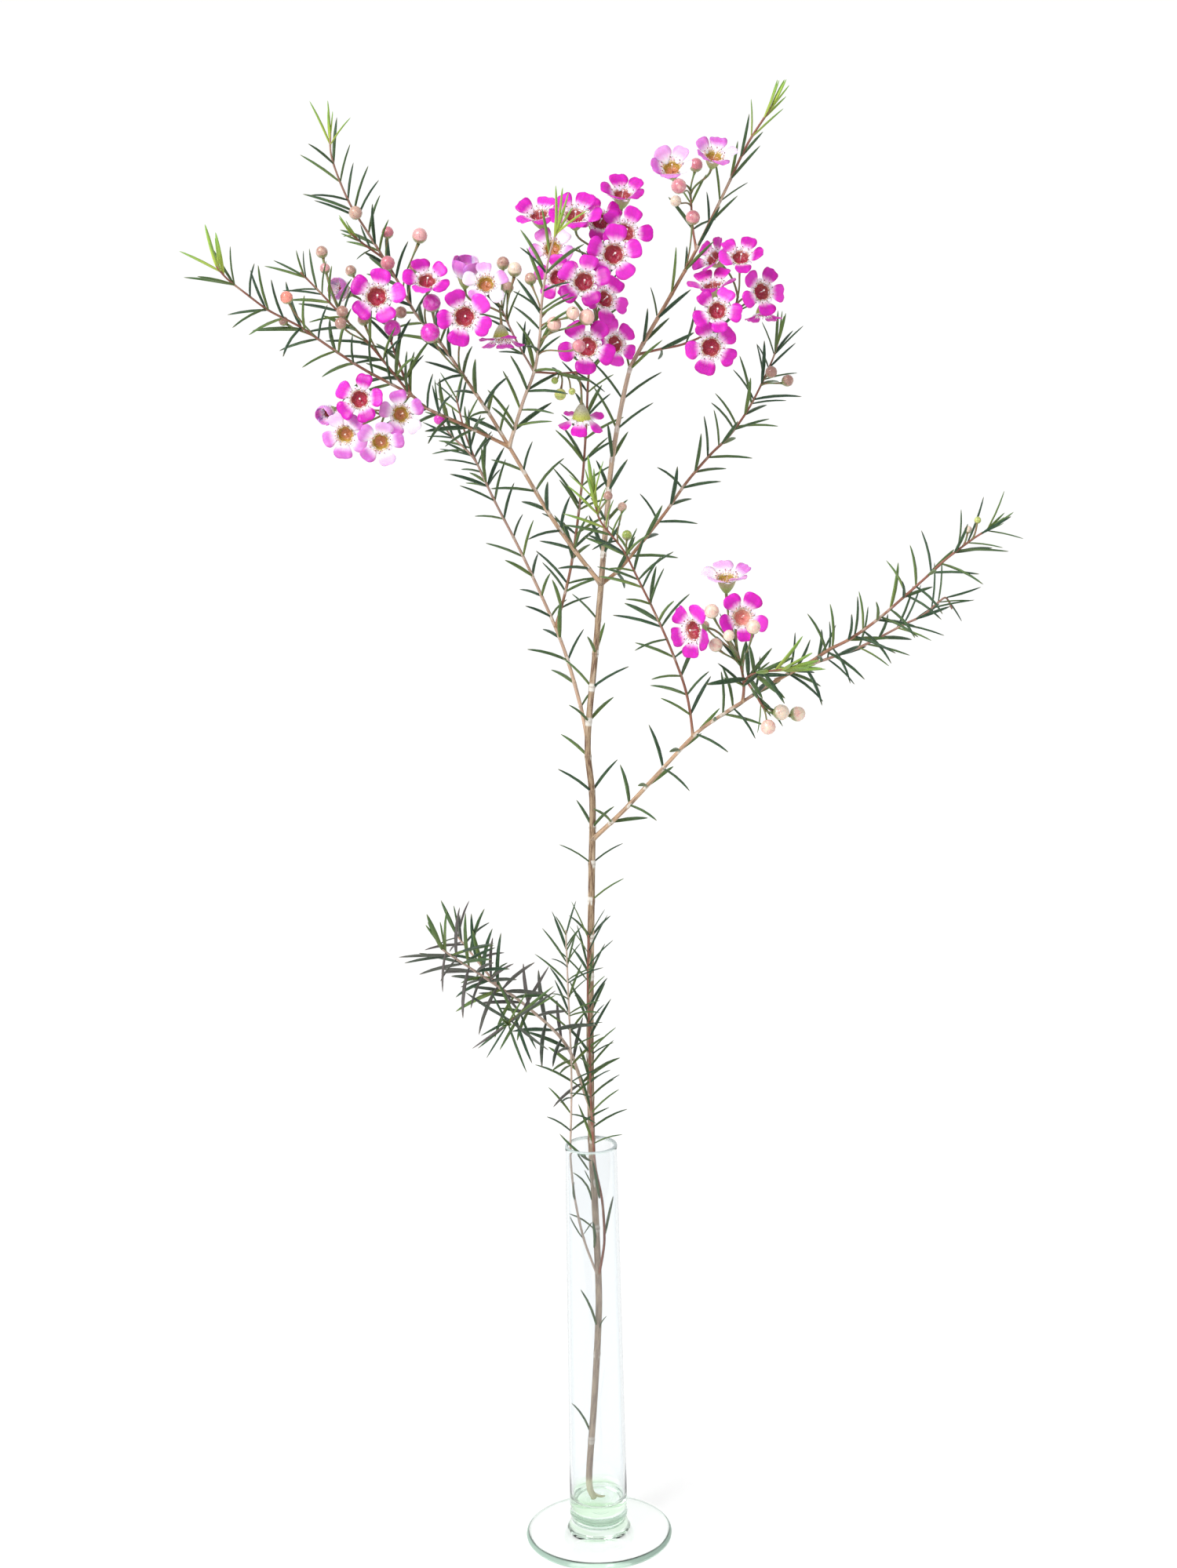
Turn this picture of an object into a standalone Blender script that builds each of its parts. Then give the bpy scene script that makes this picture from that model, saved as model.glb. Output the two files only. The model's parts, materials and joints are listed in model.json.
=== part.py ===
"""A cut stem of waxflower standing in a slender blown-glass bud vase.

One glass vase, one woody main stem, the leafy side branches that grow from it, and every open flower.
The origin is the middle of the vase's underside, +Z is up, and -Y is the side that the plant faces.
"""

import math
import random

import bmesh
import bpy
import numpy as np
from mathutils import Matrix, Vector

MM = 0.001

# Driving dimensions of the vase, in millimetres
VASE_HEIGHT = 165.0
FOOT_RADIUS = 29.4
FOOT_EDGE = 3.2
FOOT_RISE = 4.6
TUBE_FOOT_RADIUS = 11.6
RIM_RADIUS = 10.2
WALL = 1.1
PLUG_TOP = 16.5
PLUG_DOME = 2.2
PLUG_RING = 0.7
VASE_SIDES = 24

# Driving dimensions of the plant, in millimetres
BLOOM_RADIUS = 11.0
CUP_DEPTH = 6.4
CUP_RADIUS = 3.9
PETAL_THICKNESS = 0.75
PETAL_ROOT = 1.2
PETAL_SEAT = 1.9
CUP_FLOOR = 2.2
CUP_FOOT_RADIUS = 0.9
LEAF_THICKNESS = 1.4
STALK_RADIUS = 0.42
GAP = 0.3

# Each form of flower: the degrees that its petals rise, and half a petal's width
PETAL_POSES = {"open": (16, 4.3), "ball": (72, 2.7)}

# The power that carries the pentagon's shoulders outward, where neighbouring petals have more room
SHOULDER_POWER = 0.65

# A regular pentagon's depth from a corner to the far side, and its side's distance from the middle
PENTAGON_DEPTH = 1 + math.cos(math.pi / 5)
FLAT_SIDE = math.cos(math.pi / 5)

# The share of a twig's leaves that is modelled, besides the pair at its tip
LEAF_SHARE = 0.36

# A leaf's fullest place along its length, and how its size and opening vary from one leaf to the next
FULLEST_SHARE = 0.33
SIZE_SPREAD = (0.8, 1.12)
OPENING_SPREAD = (0.75, 1.3)

# The shares of its opening at which a leaf sets out and ends, and the share of leaves that are lost
LEAF_ARCH = (0.91, 1.1)
LOST_SHARE = 0.08

# A pair of leaves is turned this many degrees from the one below it, give or take the second number
PAIR_TURN = 90
PAIR_STRAY = 22

# Where a leaf would touch something, it turns aside by the first number, in radians, and folds by the second
LEAF_TRIES = ((0, 1), (0.5, 1), (-0.5, 1), (0, 0.6), (1.0, 0.8), (-1.0, 0.8), (0.3, 0.4))

# What a leaf keeps clear of anything that isn't its own leafy stem, in millimetres
LEAF_CLEARANCE = 1.0

# The straight stretches of a twig or a stalk stray from its true curve by no more than this
TWIG_SLACK = 0.25
STALK_SLACK = 0.9

# The plant's places are read across and down a picture of 1500 by 1999 points taken from this eye.
# A third number says how many millimetres the place lies behind the vase's axis.
EYE_DISTANCE = 814.0
EYE_HEIGHT = 433.5
EYE_ACROSS = 2.0
EYE_PITCH = math.radians(8.76)
EYE_ROLL = math.radians(1.2)
EYE_FOCAL = 2737.0
PICTURE_CENTRE = (750.0, 999.5)

# Each leafy stem: what it grows from, its radii from start to end, the distances between leaf pairs
# from start to end, the leaves' length and opening, the bare length, and its route. The leaves near a
# tip open less, by 0.55 of their opening or by the share that closing gives.
TWIGS = {
    "main_stem": dict(
        parent=None, radii=(1.25, 1.45, 1.1, 0.38), spacing=(40, 18, 15, 13, 11, 8), leaf=17.5, opening=50, bare=25,
        route=((757, 1909, -5), (751, 1885, -6), (757, 1790, -3), (762, 1700, 0), (763, 1640, 1.5),
               (758, 1530, 5), (754, 1457, 7.2), (752, 1300, 10), (754, 1120, 12), (755, 1020, 12),
               (749, 945, 12), (759, 830, 12), (766, 745, 12), (773, 660, 12), (781, 580, 12),
               (799, 485, 12), (813, 450, 12), (861, 366, 14), (887, 319, 15), (927, 237, 17),
               (953, 183, 19), (985, 134, 21))),
    "left_branch": dict(
        parent="main_stem", radii=(1.0, 0.36), spacing=(9.5, 6.5), leaf=17.5, opening=60, bare=8,
        route=((766, 745, 12), (735, 705, 8), (700, 655, 4), (648, 568, -2), (620, 522, -5),
               (590, 478, -8), (559, 434, -10), (530, 400, -12), (502, 350, -15), (469, 297, -19),
               (444, 256, -24), (423, 202, -30), (421, 168, -33))),
    "left_branch_side": dict(
        parent="left_branch", radii=(0.45, 0.36), spacing=(6, 4), leaf=9, opening=45, bare=6,
        route=((489, 330, -16), (466, 313, -21), (447, 298, -27))),
    "far_left_branch": dict(
        parent="left_branch", radii=(0.75, 0.36), spacing=(9.5, 6.5), leaf=17.5, opening=64, bare=8,
        route=((648, 568, -2), (594, 543, -9), (543, 520, -16), (523, 503, -20), (464, 471, -29),
               (421, 443, -35), (383, 417, -41), (343, 396, -47), (313, 374, -52), (290, 356, -56),
               (276, 340, -59))),
    "far_left_upright": dict(
        parent="far_left_branch", radii=(0.6, 0.38), spacing=(8, 6.5), leaf=16, opening=55, bare=6,
        route=((523, 503, -20), (500, 440, -15), (488, 402, -12))),
    "far_left_side": dict(
        parent="far_left_branch", radii=(0.55, 0.36), spacing=(8, 6), leaf=16, opening=60, bare=9,
        route=((523, 503, -20), (472, 440, -30), (444, 411, -34), (411, 376, -38), (383, 347, -42))),
    "far_left_stalk": dict(
        parent="far_left_branch", radii=(0.5, 0.42), spacing=(30, 30), leaf=10, opening=40, bare=50,
        route=((523, 503, -20), (508, 515, -25), (488, 530, -30))),
    "middle_shoot": dict(
        parent="left_branch", radii=(0.8, 0.36), spacing=(9, 6), leaf=17, opening=56, bare=7,
        route=((648, 568, -2), (666, 514, -10), (681, 473, -16), (688, 430, -21), (690, 391, -25),
               (695, 353, -29), (702, 318, -33), (713, 285, -37))),
    "middle_shoot_left": dict(
        parent="middle_shoot", radii=(0.45, 0.38), spacing=(10, 8), leaf=14, opening=50, bare=8,
        route=((681, 473, -16), (661, 440, -12), (645, 407, -9), (638, 390, -8))),
    "middle_shoot_right": dict(
        parent="middle_shoot", radii=(0.45, 0.42), spacing=(9, 8), leaf=15, opening=55, bare=10,
        route=((681, 473, -16), (711, 476, -10), (741, 474, -4))),
    "rear_left_branch": dict(
        parent="main_stem", radii=(0.9, 0.38), spacing=(10, 7), leaf=17, opening=56, bare=14,
        route=((749, 945, 12), (741, 905, 17), (726, 850, 22), (708, 800, 26), (668, 712, 32),
               (630, 638, 36), (604, 585, 39), (572, 552, 42), (558, 528, 44))),
    "rear_left_side": dict(
        parent="rear_left_branch", radii=(0.5, 0.36), spacing=(8, 6), leaf=16, opening=52, bare=7,
        route=((630, 638, 36), (612, 600, 45), (594, 556, 54), (581, 505, 60))),
    "centre_branch": dict(
        parent="rear_left_branch", radii=(0.65, 0.4), spacing=(10, 8), leaf=17, opening=56, bare=8,
        route=((708, 800, 26), (721, 753, 27), (731, 703, 28), (742, 614, 29), (747, 545, 27),
               (750, 480, 22), (757, 420, 17), (763, 360, 15), (765, 318, 16))),
    "right_branch": dict(
        parent="main_stem", radii=(0.85, 0.36), spacing=(9.5, 6.5), leaf=17.5, opening=60, bare=9,
        route=((766, 745, 12), (785, 730, 17), (803, 710, 21), (846, 656, 29), (875, 615, 34),
               (905, 580, 38), (930, 555, 41), (957, 516, 45), (983, 462, 50), (993, 432, 52))),
    "low_right_branch": dict(
        parent="main_stem", radii=(1.05, 0.36), spacing=(12, 6.5), leaf=16.5, opening=62, bare=12,
        route=((756, 1072, 12), (775, 1052, 8), (800, 1028, 2), (840, 985, -7), (884, 938, -17),
               (916, 914, -24), (952, 891, -30), (990, 867, -34), (1028, 849, -36), (1057, 839, -37),
               (1093, 826, -38), (1122, 812, -39), (1152, 796, -39), (1175, 785, -39),
               (1198, 766, -38), (1206, 762, -37), (1213, 776, -34))),
    "low_right_upper": dict(
        parent="low_right_branch", radii=(0.75, 0.36), spacing=(7, 5.5), leaf=16.5, opening=68, bare=7,
        route=((990, 867, -34), (1034, 843, -44), (1057, 828, -48), (1081, 816, -51), (1105, 800, -54),
               (1128, 782, -57), (1152, 761, -60), (1178, 738, -63), (1202, 716, -65),
               (1225, 698, -67), (1246, 683, -69), (1264, 673, -71))),
    "low_right_stalk": dict(
        parent="low_right_branch", radii=(0.65, 0.42), spacing=(8, 8), leaf=16, opening=40, bare=9,
        route=((946, 895, -29), (948, 872, -36), (944, 848, -38), (938, 822, -38))),
    "low_right_shoot": dict(
        parent="low_right_stalk", radii=(0.5, 0.36), spacing=(4.5, 4), leaf=18.5, opening=44, bare=6,
        route=((948, 868, -37), (958, 860, -52), (978, 856, -66), (1004, 853, -76))),
    "low_right_buds": dict(
        parent="low_right_stalk", radii=(0.5, 0.42), spacing=(7, 7), leaf=12, opening=45, bare=8,
        route=((948, 868, -37), (954, 872, -42), (965, 889, -46), (975, 906, -47))),
    "inner_right_shoot": dict(
        parent="low_right_branch", radii=(0.6, 0.36), spacing=(8.5, 6), leaf=16.5, opening=60, bare=9,
        route=((884, 938, -17), (879, 905, -20), (873, 877, -23), (863, 848, -26), (849, 813, -29),
               (831, 774, -32), (813, 738, -35), (796, 704, -38), (778, 681, -41), (764, 662, -44),
               (756, 634, -47))),
    "low_left_branch": dict(
        parent="main_stem", radii=(0.8, 0.4), spacing=(7, 3.6), leaf=19, opening=78, bare=14,
        closing=0.1,
        route=((751, 1412, 8.6), (744, 1390, 4), (729, 1346, -4), (712, 1320, -10), (688, 1297, -17),
               (656, 1271, -26), (638, 1260, -31), (610, 1241, -39), (582, 1223, -48),
               (563, 1210, -56))),
    "low_left_shoot": dict(
        parent="low_left_branch", radii=(0.55, 0.36), spacing=(4, 3.5), leaf=19, opening=75, bare=5,
        closing=0.1,
        route=((670, 1283, -22), (660, 1294, -34), (651, 1302, -46), (646, 1307, -56))),
    "low_left_side": dict(
        parent="low_left_branch", radii=(0.55, 0.36), spacing=(5, 4), leaf=17.5, opening=68, bare=6,
        closing=0.1,
        route=((638, 1260, -31), (622, 1242, -27), (606, 1222, -22), (580, 1190, -13))),
    "thin_shoot": dict(
        parent="main_stem", radii=(0.55, 0.36), spacing=(8, 6.5), leaf=17, opening=68, bare=18,
        route=((763, 1630, 1.6), (756, 1612, 1), (744, 1579, -0.5), (734, 1535, -1), (729, 1497, -1),
               (727, 1462, -1.5), (728, 1420, -4), (728, 1355, -9), (724, 1262, -14),
               (722, 1211, -17), (721, 1186, -19))),
    "front_shoot": dict(
        parent="main_stem", radii=(0.6, 0.38), spacing=(7, 5.5), leaf=17, opening=62, bare=13,
        route=((764, 1630, 1.6), (768, 1600, -1.5), (770, 1575, -4), (767, 1530, -6), (759, 1490, -6.6),
               (756, 1457, -6.4), (753, 1400, -7), (751, 1320, -9), (749, 1250, -11), (750, 1192, -13))),
    "top_right_stalk": dict(
        parent="main_stem", radii=(0.5, 0.42), spacing=(10, 10), leaf=14, opening=50, bare=8,
        route=((887, 319, 15), (883, 292, 17), (881, 262, 20), (880, 240, 21))),
    "right_stalk": dict(
        parent="main_stem", radii=(0.55, 0.42), spacing=(11, 11), leaf=16, opening=58, bare=10,
        route=((813, 451, 12), (842, 445, 15), (870, 439, 19), (900, 426, 23), (930, 405, 25),
               (941, 378, 25))),
}

# The solids that the twigs are gathered in: each leafy branch with the small twigs on it.
LEAFY_STEMS = {
    "main_stem": ("main_stem",),
    "left_branch": ("left_branch", "left_branch_side"),
    "far_left_branch": ("far_left_branch", "far_left_upright", "far_left_side", "far_left_stalk"),
    "middle_shoot": ("middle_shoot", "middle_shoot_left", "middle_shoot_right"),
    "rear_left_branch": ("rear_left_branch", "rear_left_side"),
    "centre_branch": ("centre_branch",),
    "right_branch": ("right_branch",),
    "low_right_branch": ("low_right_branch",),
    "low_right_upper": ("low_right_upper",),
    "low_right_stalk": ("low_right_stalk", "low_right_shoot", "low_right_buds"),
    "inner_right_shoot": ("inner_right_shoot",),
    "low_left_branch": ("low_left_branch", "low_left_shoot", "low_left_side"),
    "thin_shoot": ("thin_shoot",),
    "front_shoot": ("front_shoot",),
    "top_right_stalk": ("top_right_stalk",),
    "right_stalk": ("right_stalk",),
}

# Each flower: the place of its cup's mouth, the degrees that it faces right of the front and up, the degrees
# from its right to its first petal, its width in the picture, its form, its colour, and the twig that bears
# it with the share of that twig's length.
BLOOMS = (
    ((480, 378, -36), 0, 10, 6, 74, "open", "magenta", "far_left_upright", 0.85),
    ((544, 358, -28), 5, 35, 32, 66, "open", "magenta", "left_branch", 0.6),
    ((592, 404, -34), 0, -5, 41, 74, "open", "magenta", "left_branch", 0.5),
    ((619, 362, -24), 0, 20, 20, 60, "open", "pale", "middle_shoot_left", 0.97),
    ((593, 352, -12), 10, 62, 10, 56, "ball", "pale", "middle_shoot_left", 0.86),
    ((437, 371, -22), -38, 14, 30, 54, "ball", "pale", "far_left_upright", 0.94),
    ((639, 433, -22), -5, -84, 62, 62, "open", "magenta", "middle_shoot_left", 0.95),
    ((458, 509, -48), -5, 5, 5, 66, "open", "magenta", "far_left_stalk", 0.97),
    ((440, 554, -44), -8, -12, 46, 62, "open", "pale", "far_left_stalk", 0.84),
    ((485, 564, -50), 5, -15, 5, 62, "open", "pale", "far_left_stalk", 0.9),
    ((511, 528, -42), 18, 5, 22, 60, "open", "pale", "far_left_stalk", 0.65),
    ((419, 526, -36), -30, -20, 30, 48, "ball", "pale", "far_left_stalk", 0.74),
    ((687, 274, 12), -14, 50, 8, 66, "open", "magenta", "centre_branch", 0.96),
    ((733, 275, -2), 0, 42, 60, 74, "open", "magenta", "centre_branch", 0.98),
    ((765, 282, 9), 10, 22, 38, 64, "open", "magenta", "centre_branch", 0.99),
    ((793, 248, 14), 4, 50, 30, 66, "open", "magenta", "centre_branch", 1.0),
    ((797, 296, 2), 18, 22, 60, 70, "open", "magenta", "centre_branch", 0.94),
    ((782, 324, -12), 5, 5, 12, 74, "open", "magenta", "centre_branch", 0.91),
    ((744, 359, -20), -5, 14, 6, 72, "open", "magenta", "middle_shoot", 0.60),
    ((771, 381, 0), 30, 18, 48, 66, "open", "magenta", "centre_branch", 0.82),
    ((711, 354, 0), -12, 10, 20, 62, "open", "magenta", "centre_branch", 0.84),
    ((704, 317, 8), -12, 20, 50, 60, "open", "pale", "centre_branch", 0.9),
    ((748, 442, -21), 0, 6, 51, 74, "open", "magenta", "middle_shoot_right", 0.97),
    ((784, 438, 3), 32, 8, 40, 62, "open", "magenta", "middle_shoot_right", 0.93),
    ((741, 535, -6), 5, -104, 66, 66, "open", "magenta", "middle_shoot_right", 0.86),
    ((856, 214, 2), -8, 34, 51, 66, "open", "pale", "top_right_stalk", 0.97),
    ((910, 199, 6), 12, 44, -8, 62, "open", "pale", "top_right_stalk", 0.92),
    ((944, 328, 0), 0, 36, 62, 64, "open", "magenta", "right_stalk", 0.97),
    ((971, 372, 8), 25, 6, 64, 64, "open", "magenta", "right_stalk", 0.93),
    ((914, 396, -5), -3, 12, 62, 65, "open", "magenta", "right_stalk", 0.82),
    ((906, 443, 2), 0, -8, 40, 70, "open", "magenta", "right_stalk", 0.72),
    ((909, 329, 20), -50, 30, 3, 60, "open", "magenta", "right_stalk", 0.99),
    ((908, 364, 13), -20, 60, 64, 66, "open", "magenta", "right_stalk", 0.9),
    ((972, 401, 28), 0, -84, 20, 50, "open", "magenta", "right_stalk", 0.87),
    ((926, 737, -42), 0, 66, 20, 70, "open", "pale", "low_right_stalk", 0.97),
    ((946, 787, -57), 8, 12, 53, 68, "open", "magenta", "low_right_stalk", 0.92),
    ((883, 804, -48), -50, -4, 54, 66, "open", "magenta", "low_right_stalk", 0.78),
)

# Each bud: its place, its width in the picture, its colour, and the twig that bears it with the share.
BUDS = (
    ((453, 271, -24), 17, "green", "left_branch", 0.84),
    ((494, 296, -20), 15, "pink", "left_branch", 0.74),
    ((535, 300, -18), 19, "pink", "left_branch", 0.68),
    ((494, 335, -28), 18, "pink", "left_branch", 0.72),
    ((529, 339, -8), 16, "pink", "left_branch", 0.66),
    ((410, 321, -30), 15, "pink", "far_left_side", 0.66),
    ((414, 342, -32), 13, "pink", "far_left_side", 0.62),
    ((436, 397, -44), 15, "brown", "far_left_side", 0.45),
    ((434, 412, -46), 15, "brown", "far_left_side", 0.40),
    ((463, 407, -24), 15, "brown", "far_left_side", 0.30),
    ((447, 345, -10), 14, "brown", "far_left_upright", 0.99),
    ((511, 398, -20), 15, "green", "far_left_upright", 0.90),
    ((550, 386, -26), 23, "magenta", "left_branch", 0.56),
    ((548, 424, -30), 25, "magenta", "left_branch", 0.47),
    ((500, 418, -28), 21, "magenta", "far_left_upright", 0.78),
    ((365, 379, -50), 16, "red", "far_left_branch", 0.66),
    ((361, 409, -40), 12, "brown", "far_left_branch", 0.66),
    ((641, 335, 0), 16, "brown", "middle_shoot_left", 0.93),
    ((656, 343, -6), 18, "green", "middle_shoot_left", 0.80),
    ((676, 355, -14), 15, "brown", "middle_shoot", 0.62),
    ((647, 366, -2), 15, "brown", "middle_shoot_left", 0.74),
    ((560, 534, 40), 15, "pink", "rear_left_branch", 0.98),
    ((706, 413, -24), 19, "cream", "middle_shoot", 0.47),
    ((748, 404, -27), 20, "cream", "middle_shoot", 0.50),
    ((730, 399, -30), 17, "cream", "middle_shoot", 0.56),
    ((738, 441, -34), 17, "pink", "middle_shoot", 0.44),
    ((714, 503, -12), 15, "green", "middle_shoot_right", 0.55),
    ((729, 499, -16), 9, "green", "middle_shoot_right", 0.64),
    ((707, 485, -14), 9, "green", "middle_shoot_right", 0.50),
    ((865, 237, -8), 19, "pink", "top_right_stalk", 0.84),
    ((883, 277, 4), 18, "pink", "main_stem", 0.875),
    ((887, 210, 20), 17, "pink", "top_right_stalk", 0.99),
    ((861, 256, 12), 14, "cream", "top_right_stalk", 0.72),
    ((907, 779, -60), 19, "cream", "low_right_stalk", 0.83),
    ((912, 822, -50), 18, "cream", "low_right_stalk", 0.68),
    ((960, 799, -70), 19, "cream", "low_right_stalk", 0.55),
    ((929, 810, -68), 15, "cream", "low_right_stalk", 0.73),
    ((898, 797, -35), 12, "cream", "low_right_stalk", 0.80),
    ((979, 927, -54), 20, "cream", "low_right_buds", 0.96),
    ((996, 908, -48), 21, "pink", "low_right_buds", 0.99),
    ((1017, 910, -42), 20, "cream", "low_right_buds", 0.86),
    ((1234, 675, -66), 10, "pink", "low_right_upper", 0.88),
    ((1246, 663, -70), 9, "pink", "low_right_upper", 0.92),
    ((983, 474, 42), 15, "brown", "right_branch", 0.86),
    ((1004, 485, 46), 15, "brown", "right_branch", 0.84),
    ((775, 632, -52), 12, "pink", "inner_right_shoot", 0.93),
    ((793, 646, -46), 12, "pink", "inner_right_shoot", 0.80),
    ((799, 682, -32), 13, "green", "inner_right_shoot", 0.74),
)


def place(across, down, depth):
    """The real place, in millimetres, of a picture point that lies depth behind the vase's axis."""
    u = across - PICTURE_CENTRE[0]
    v = PICTURE_CENTRE[1] - down
    right = u * math.cos(EYE_ROLL) + v * math.sin(EYE_ROLL)
    up = v * math.cos(EYE_ROLL) - u * math.sin(EYE_ROLL)
    away = EYE_FOCAL * math.cos(EYE_PITCH) + up * math.sin(EYE_PITCH)
    rise = up * math.cos(EYE_PITCH) - EYE_FOCAL * math.sin(EYE_PITCH)
    reach = (depth + EYE_DISTANCE) / away
    return np.array((EYE_ACROSS + reach * right, depth, EYE_HEIGHT + reach * rise))


def picture_scale(depth):
    """Millimetres to a picture point, near the middle of the picture, at this depth."""
    return (depth + EYE_DISTANCE) / EYE_FOCAL


def facing(turn, tilt):
    """The way a flower looks, from the degrees that it turns right and up from the front."""
    turn = math.radians(turn)
    tilt = math.radians(tilt)
    return np.array((math.sin(turn) * math.cos(tilt), -math.cos(turn) * math.cos(tilt), math.sin(tilt)))


def unit(vector):
    return vector / max(np.linalg.norm(vector), 1e-9)


def smooth(points, step):
    """Evenly spaced points, about a step apart, on a smooth curve through the given points."""
    points = [np.asarray(p, float) for p in points]
    padded = [2 * points[0] - points[1], *points, 2 * points[-1] - points[-2]]
    dense = []
    for a, b, c, d in zip(padded, padded[1:], padded[2:], padded[3:]):
        for t in np.linspace(0, 1, 12, endpoint=False):
            dense.append(0.5 * (2 * b + (c - a) * t + (2 * a - 5 * b + 4 * c - d) * t * t
                                + (3 * b - a - 3 * c + d) * t ** 3))
    dense = np.array(dense + [points[-1]])
    along = np.concatenate([[0], np.cumsum(np.linalg.norm(np.diff(dense, axis=0), axis=1))])
    count = max(2, round(along[-1] / step) + 1)
    even = np.linspace(0, along[-1], count)
    return np.stack([np.interp(even, along, dense[:, k]) for k in range(3)], axis=1)


def bent_stalk(start, leaving, end, arriving):
    """Points from start to end, which leave one way and arrive the other."""
    reach = 0.38 * np.linalg.norm(end - start)
    controls = (start, start + reach * leaving, end - reach * arriving, end)
    points = []
    for t in np.linspace(0, 1, 9):
        shares = ((1 - t) ** 3, 3 * t * (1 - t) ** 2, 3 * t * t * (1 - t), t ** 3)
        points.append(sum(s * c for s, c in zip(shares, controls)))
    return np.array(points)


def corners(points, slack):
    """The numbers of the points that a run of straight stretches needs to follow the curve this closely."""
    start, end = points[0], points[-1]
    span = unit(end - start)
    offsets = points - start
    strays = np.linalg.norm(offsets - np.outer(offsets @ span, span), axis=1)
    worst = int(np.argmax(strays))
    if strays[worst] <= slack:
        return [0, len(points) - 1]
    return corners(points[:worst + 1], slack)[:-1] + [worst + k for k in corners(points[worst:], slack)]


class Twig:
    """A smooth tapered twig, whose centreline starts on the centreline of what it grows from."""

    def __init__(self, name, facts, parent):
        self.name = name
        self.parent = parent
        self.facts = facts
        points = [place(*p) for p in facts["route"]]
        if parent:
            points[0] = parent.nearest(points[0])
        self.fine = smooth(points, 1.0)
        self.along = np.linspace(0, 1, len(self.fine))
        self.length = float(np.linalg.norm(np.diff(self.fine, axis=0), axis=1).sum())

    def nearest(self, point):
        return self.fine[np.argmin(np.linalg.norm(self.fine - point, axis=1))]

    def at(self, share):
        return np.array([np.interp(share, self.along, self.fine[:, k]) for k in range(3)])

    def heading(self, share):
        return unit(self.at(min(share + 0.01, 1)) - self.at(max(share - 0.01, 0)))

    def radius(self, share):
        radii = self.facts["radii"]
        return float(np.interp(share, np.linspace(0, 1, len(radii)), radii))

    def centreline(self, slack=TWIG_SLACK):
        """The points of a close run of straight stretches, and the radius at each."""
        kept = corners(self.fine, slack)
        return self.fine[kept], [self.radius(share) for share in self.along[kept]]


class Surroundings:
    """What a new leaf has to stay clear of: other leafy stems, flowers, buds and the glass."""

    def __init__(self):
        self.starts = np.zeros((0, 3))
        self.ends = np.zeros((0, 3))
        self.radii = np.zeros(0)
        self.owners = np.zeros(0, int)
        self.discs = []

    def add_run(self, points, radii, owner):
        self.starts = np.vstack([self.starts, points[:-1]])
        self.ends = np.vstack([self.ends, points[1:]])
        self.radii = np.append(self.radii, radii)
        self.owners = np.append(self.owners, np.full(len(points) - 1, owner))

    def add_flower(self, mouth, looks, scale):
        self.discs.append((mouth, looks, scale))

    def in_glass(self, point):
        """Whether a point of a leaf would touch the vase's wall or floor."""
        off_axis = math.hypot(point[0], point[1])
        in_reach = point[2] < VASE_HEIGHT + LEAF_THICKNESS
        outside = off_axis > RIM_RADIUS - WALL - LEAF_CLEARANCE
        return in_reach and (outside or point[2] < PLUG_TOP + PLUG_DOME)

    def in_flower(self, point):
        """Whether a point of a leaf would touch a flower's petals, or the cup behind them."""
        for mouth, looks, scale in self.discs:
            offset = (point - mouth) / scale
            height = float(offset @ looks)
            spread = math.sqrt(max(float(offset @ offset) - height * height, 0))
            if -CUP_FLOOR < height < 0.5 * BLOOM_RADIUS and spread < BLOOM_RADIUS + LEAF_CLEARANCE:
                return True
            if -CUP_DEPTH - LEAF_CLEARANCE < height < 0 and spread < CUP_RADIUS + LEAF_CLEARANCE:
                return True
        return False

    def blocked(self, points, radius, owner):
        """Whether a leaf along these points would touch what isn't its own leafy stem."""
        samples = [a + (b - a) * t for a, b in zip(points, points[1:]) for t in (0.25, 0.5, 0.75, 1.0)]
        if any(self.in_glass(p) or self.in_flower(p) for p in samples):
            return True
        others = self.owners != owner
        starts, ends, radii = self.starts[others], self.ends[others], self.radii[others]
        spans = ends - starts
        lengths = np.maximum((spans ** 2).sum(axis=1), 1e-9)
        for sample in samples:
            t = np.clip(((sample - starts) * spans).sum(axis=1) / lengths, 0, 1)
            distance = np.linalg.norm(starts + t[:, None] * spans - sample, axis=1)
            if (distance < radii + radius + LEAF_CLEARANCE).any():
                return True
        return False


def grow_twigs():
    twigs = {}
    for name, facts in TWIGS.items():
        twigs[name] = Twig(name, facts, twigs.get(facts["parent"]))
    return twigs


def owner_numbers():
    return {twig: k for k, members in enumerate(LEAFY_STEMS.values()) for twig in members}


def flower_places():
    """Each flower's mouth, the way it looks, and its scale."""
    found = []
    for where, turn, tilt, _, width, *_ in BLOOMS:
        scale = 0.5 * width * picture_scale(where[2]) / BLOOM_RADIUS
        found.append((place(*where), facing(turn, tilt), scale))
    return found


def leaf_line(root, heading, outward, length, opening):
    """Three points of a leaf that leaves its twig, opens outward and arches a little further back."""
    start, end = (math.radians(opening * share) for share in LEAF_ARCH)
    middle_way = heading * math.cos(start) + outward * math.sin(start)
    tip_way = heading * math.cos(end) + outward * math.sin(end)
    middle = root + 0.5 * length * middle_way
    return [root, middle, middle + 0.5 * length * tip_way]


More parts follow.
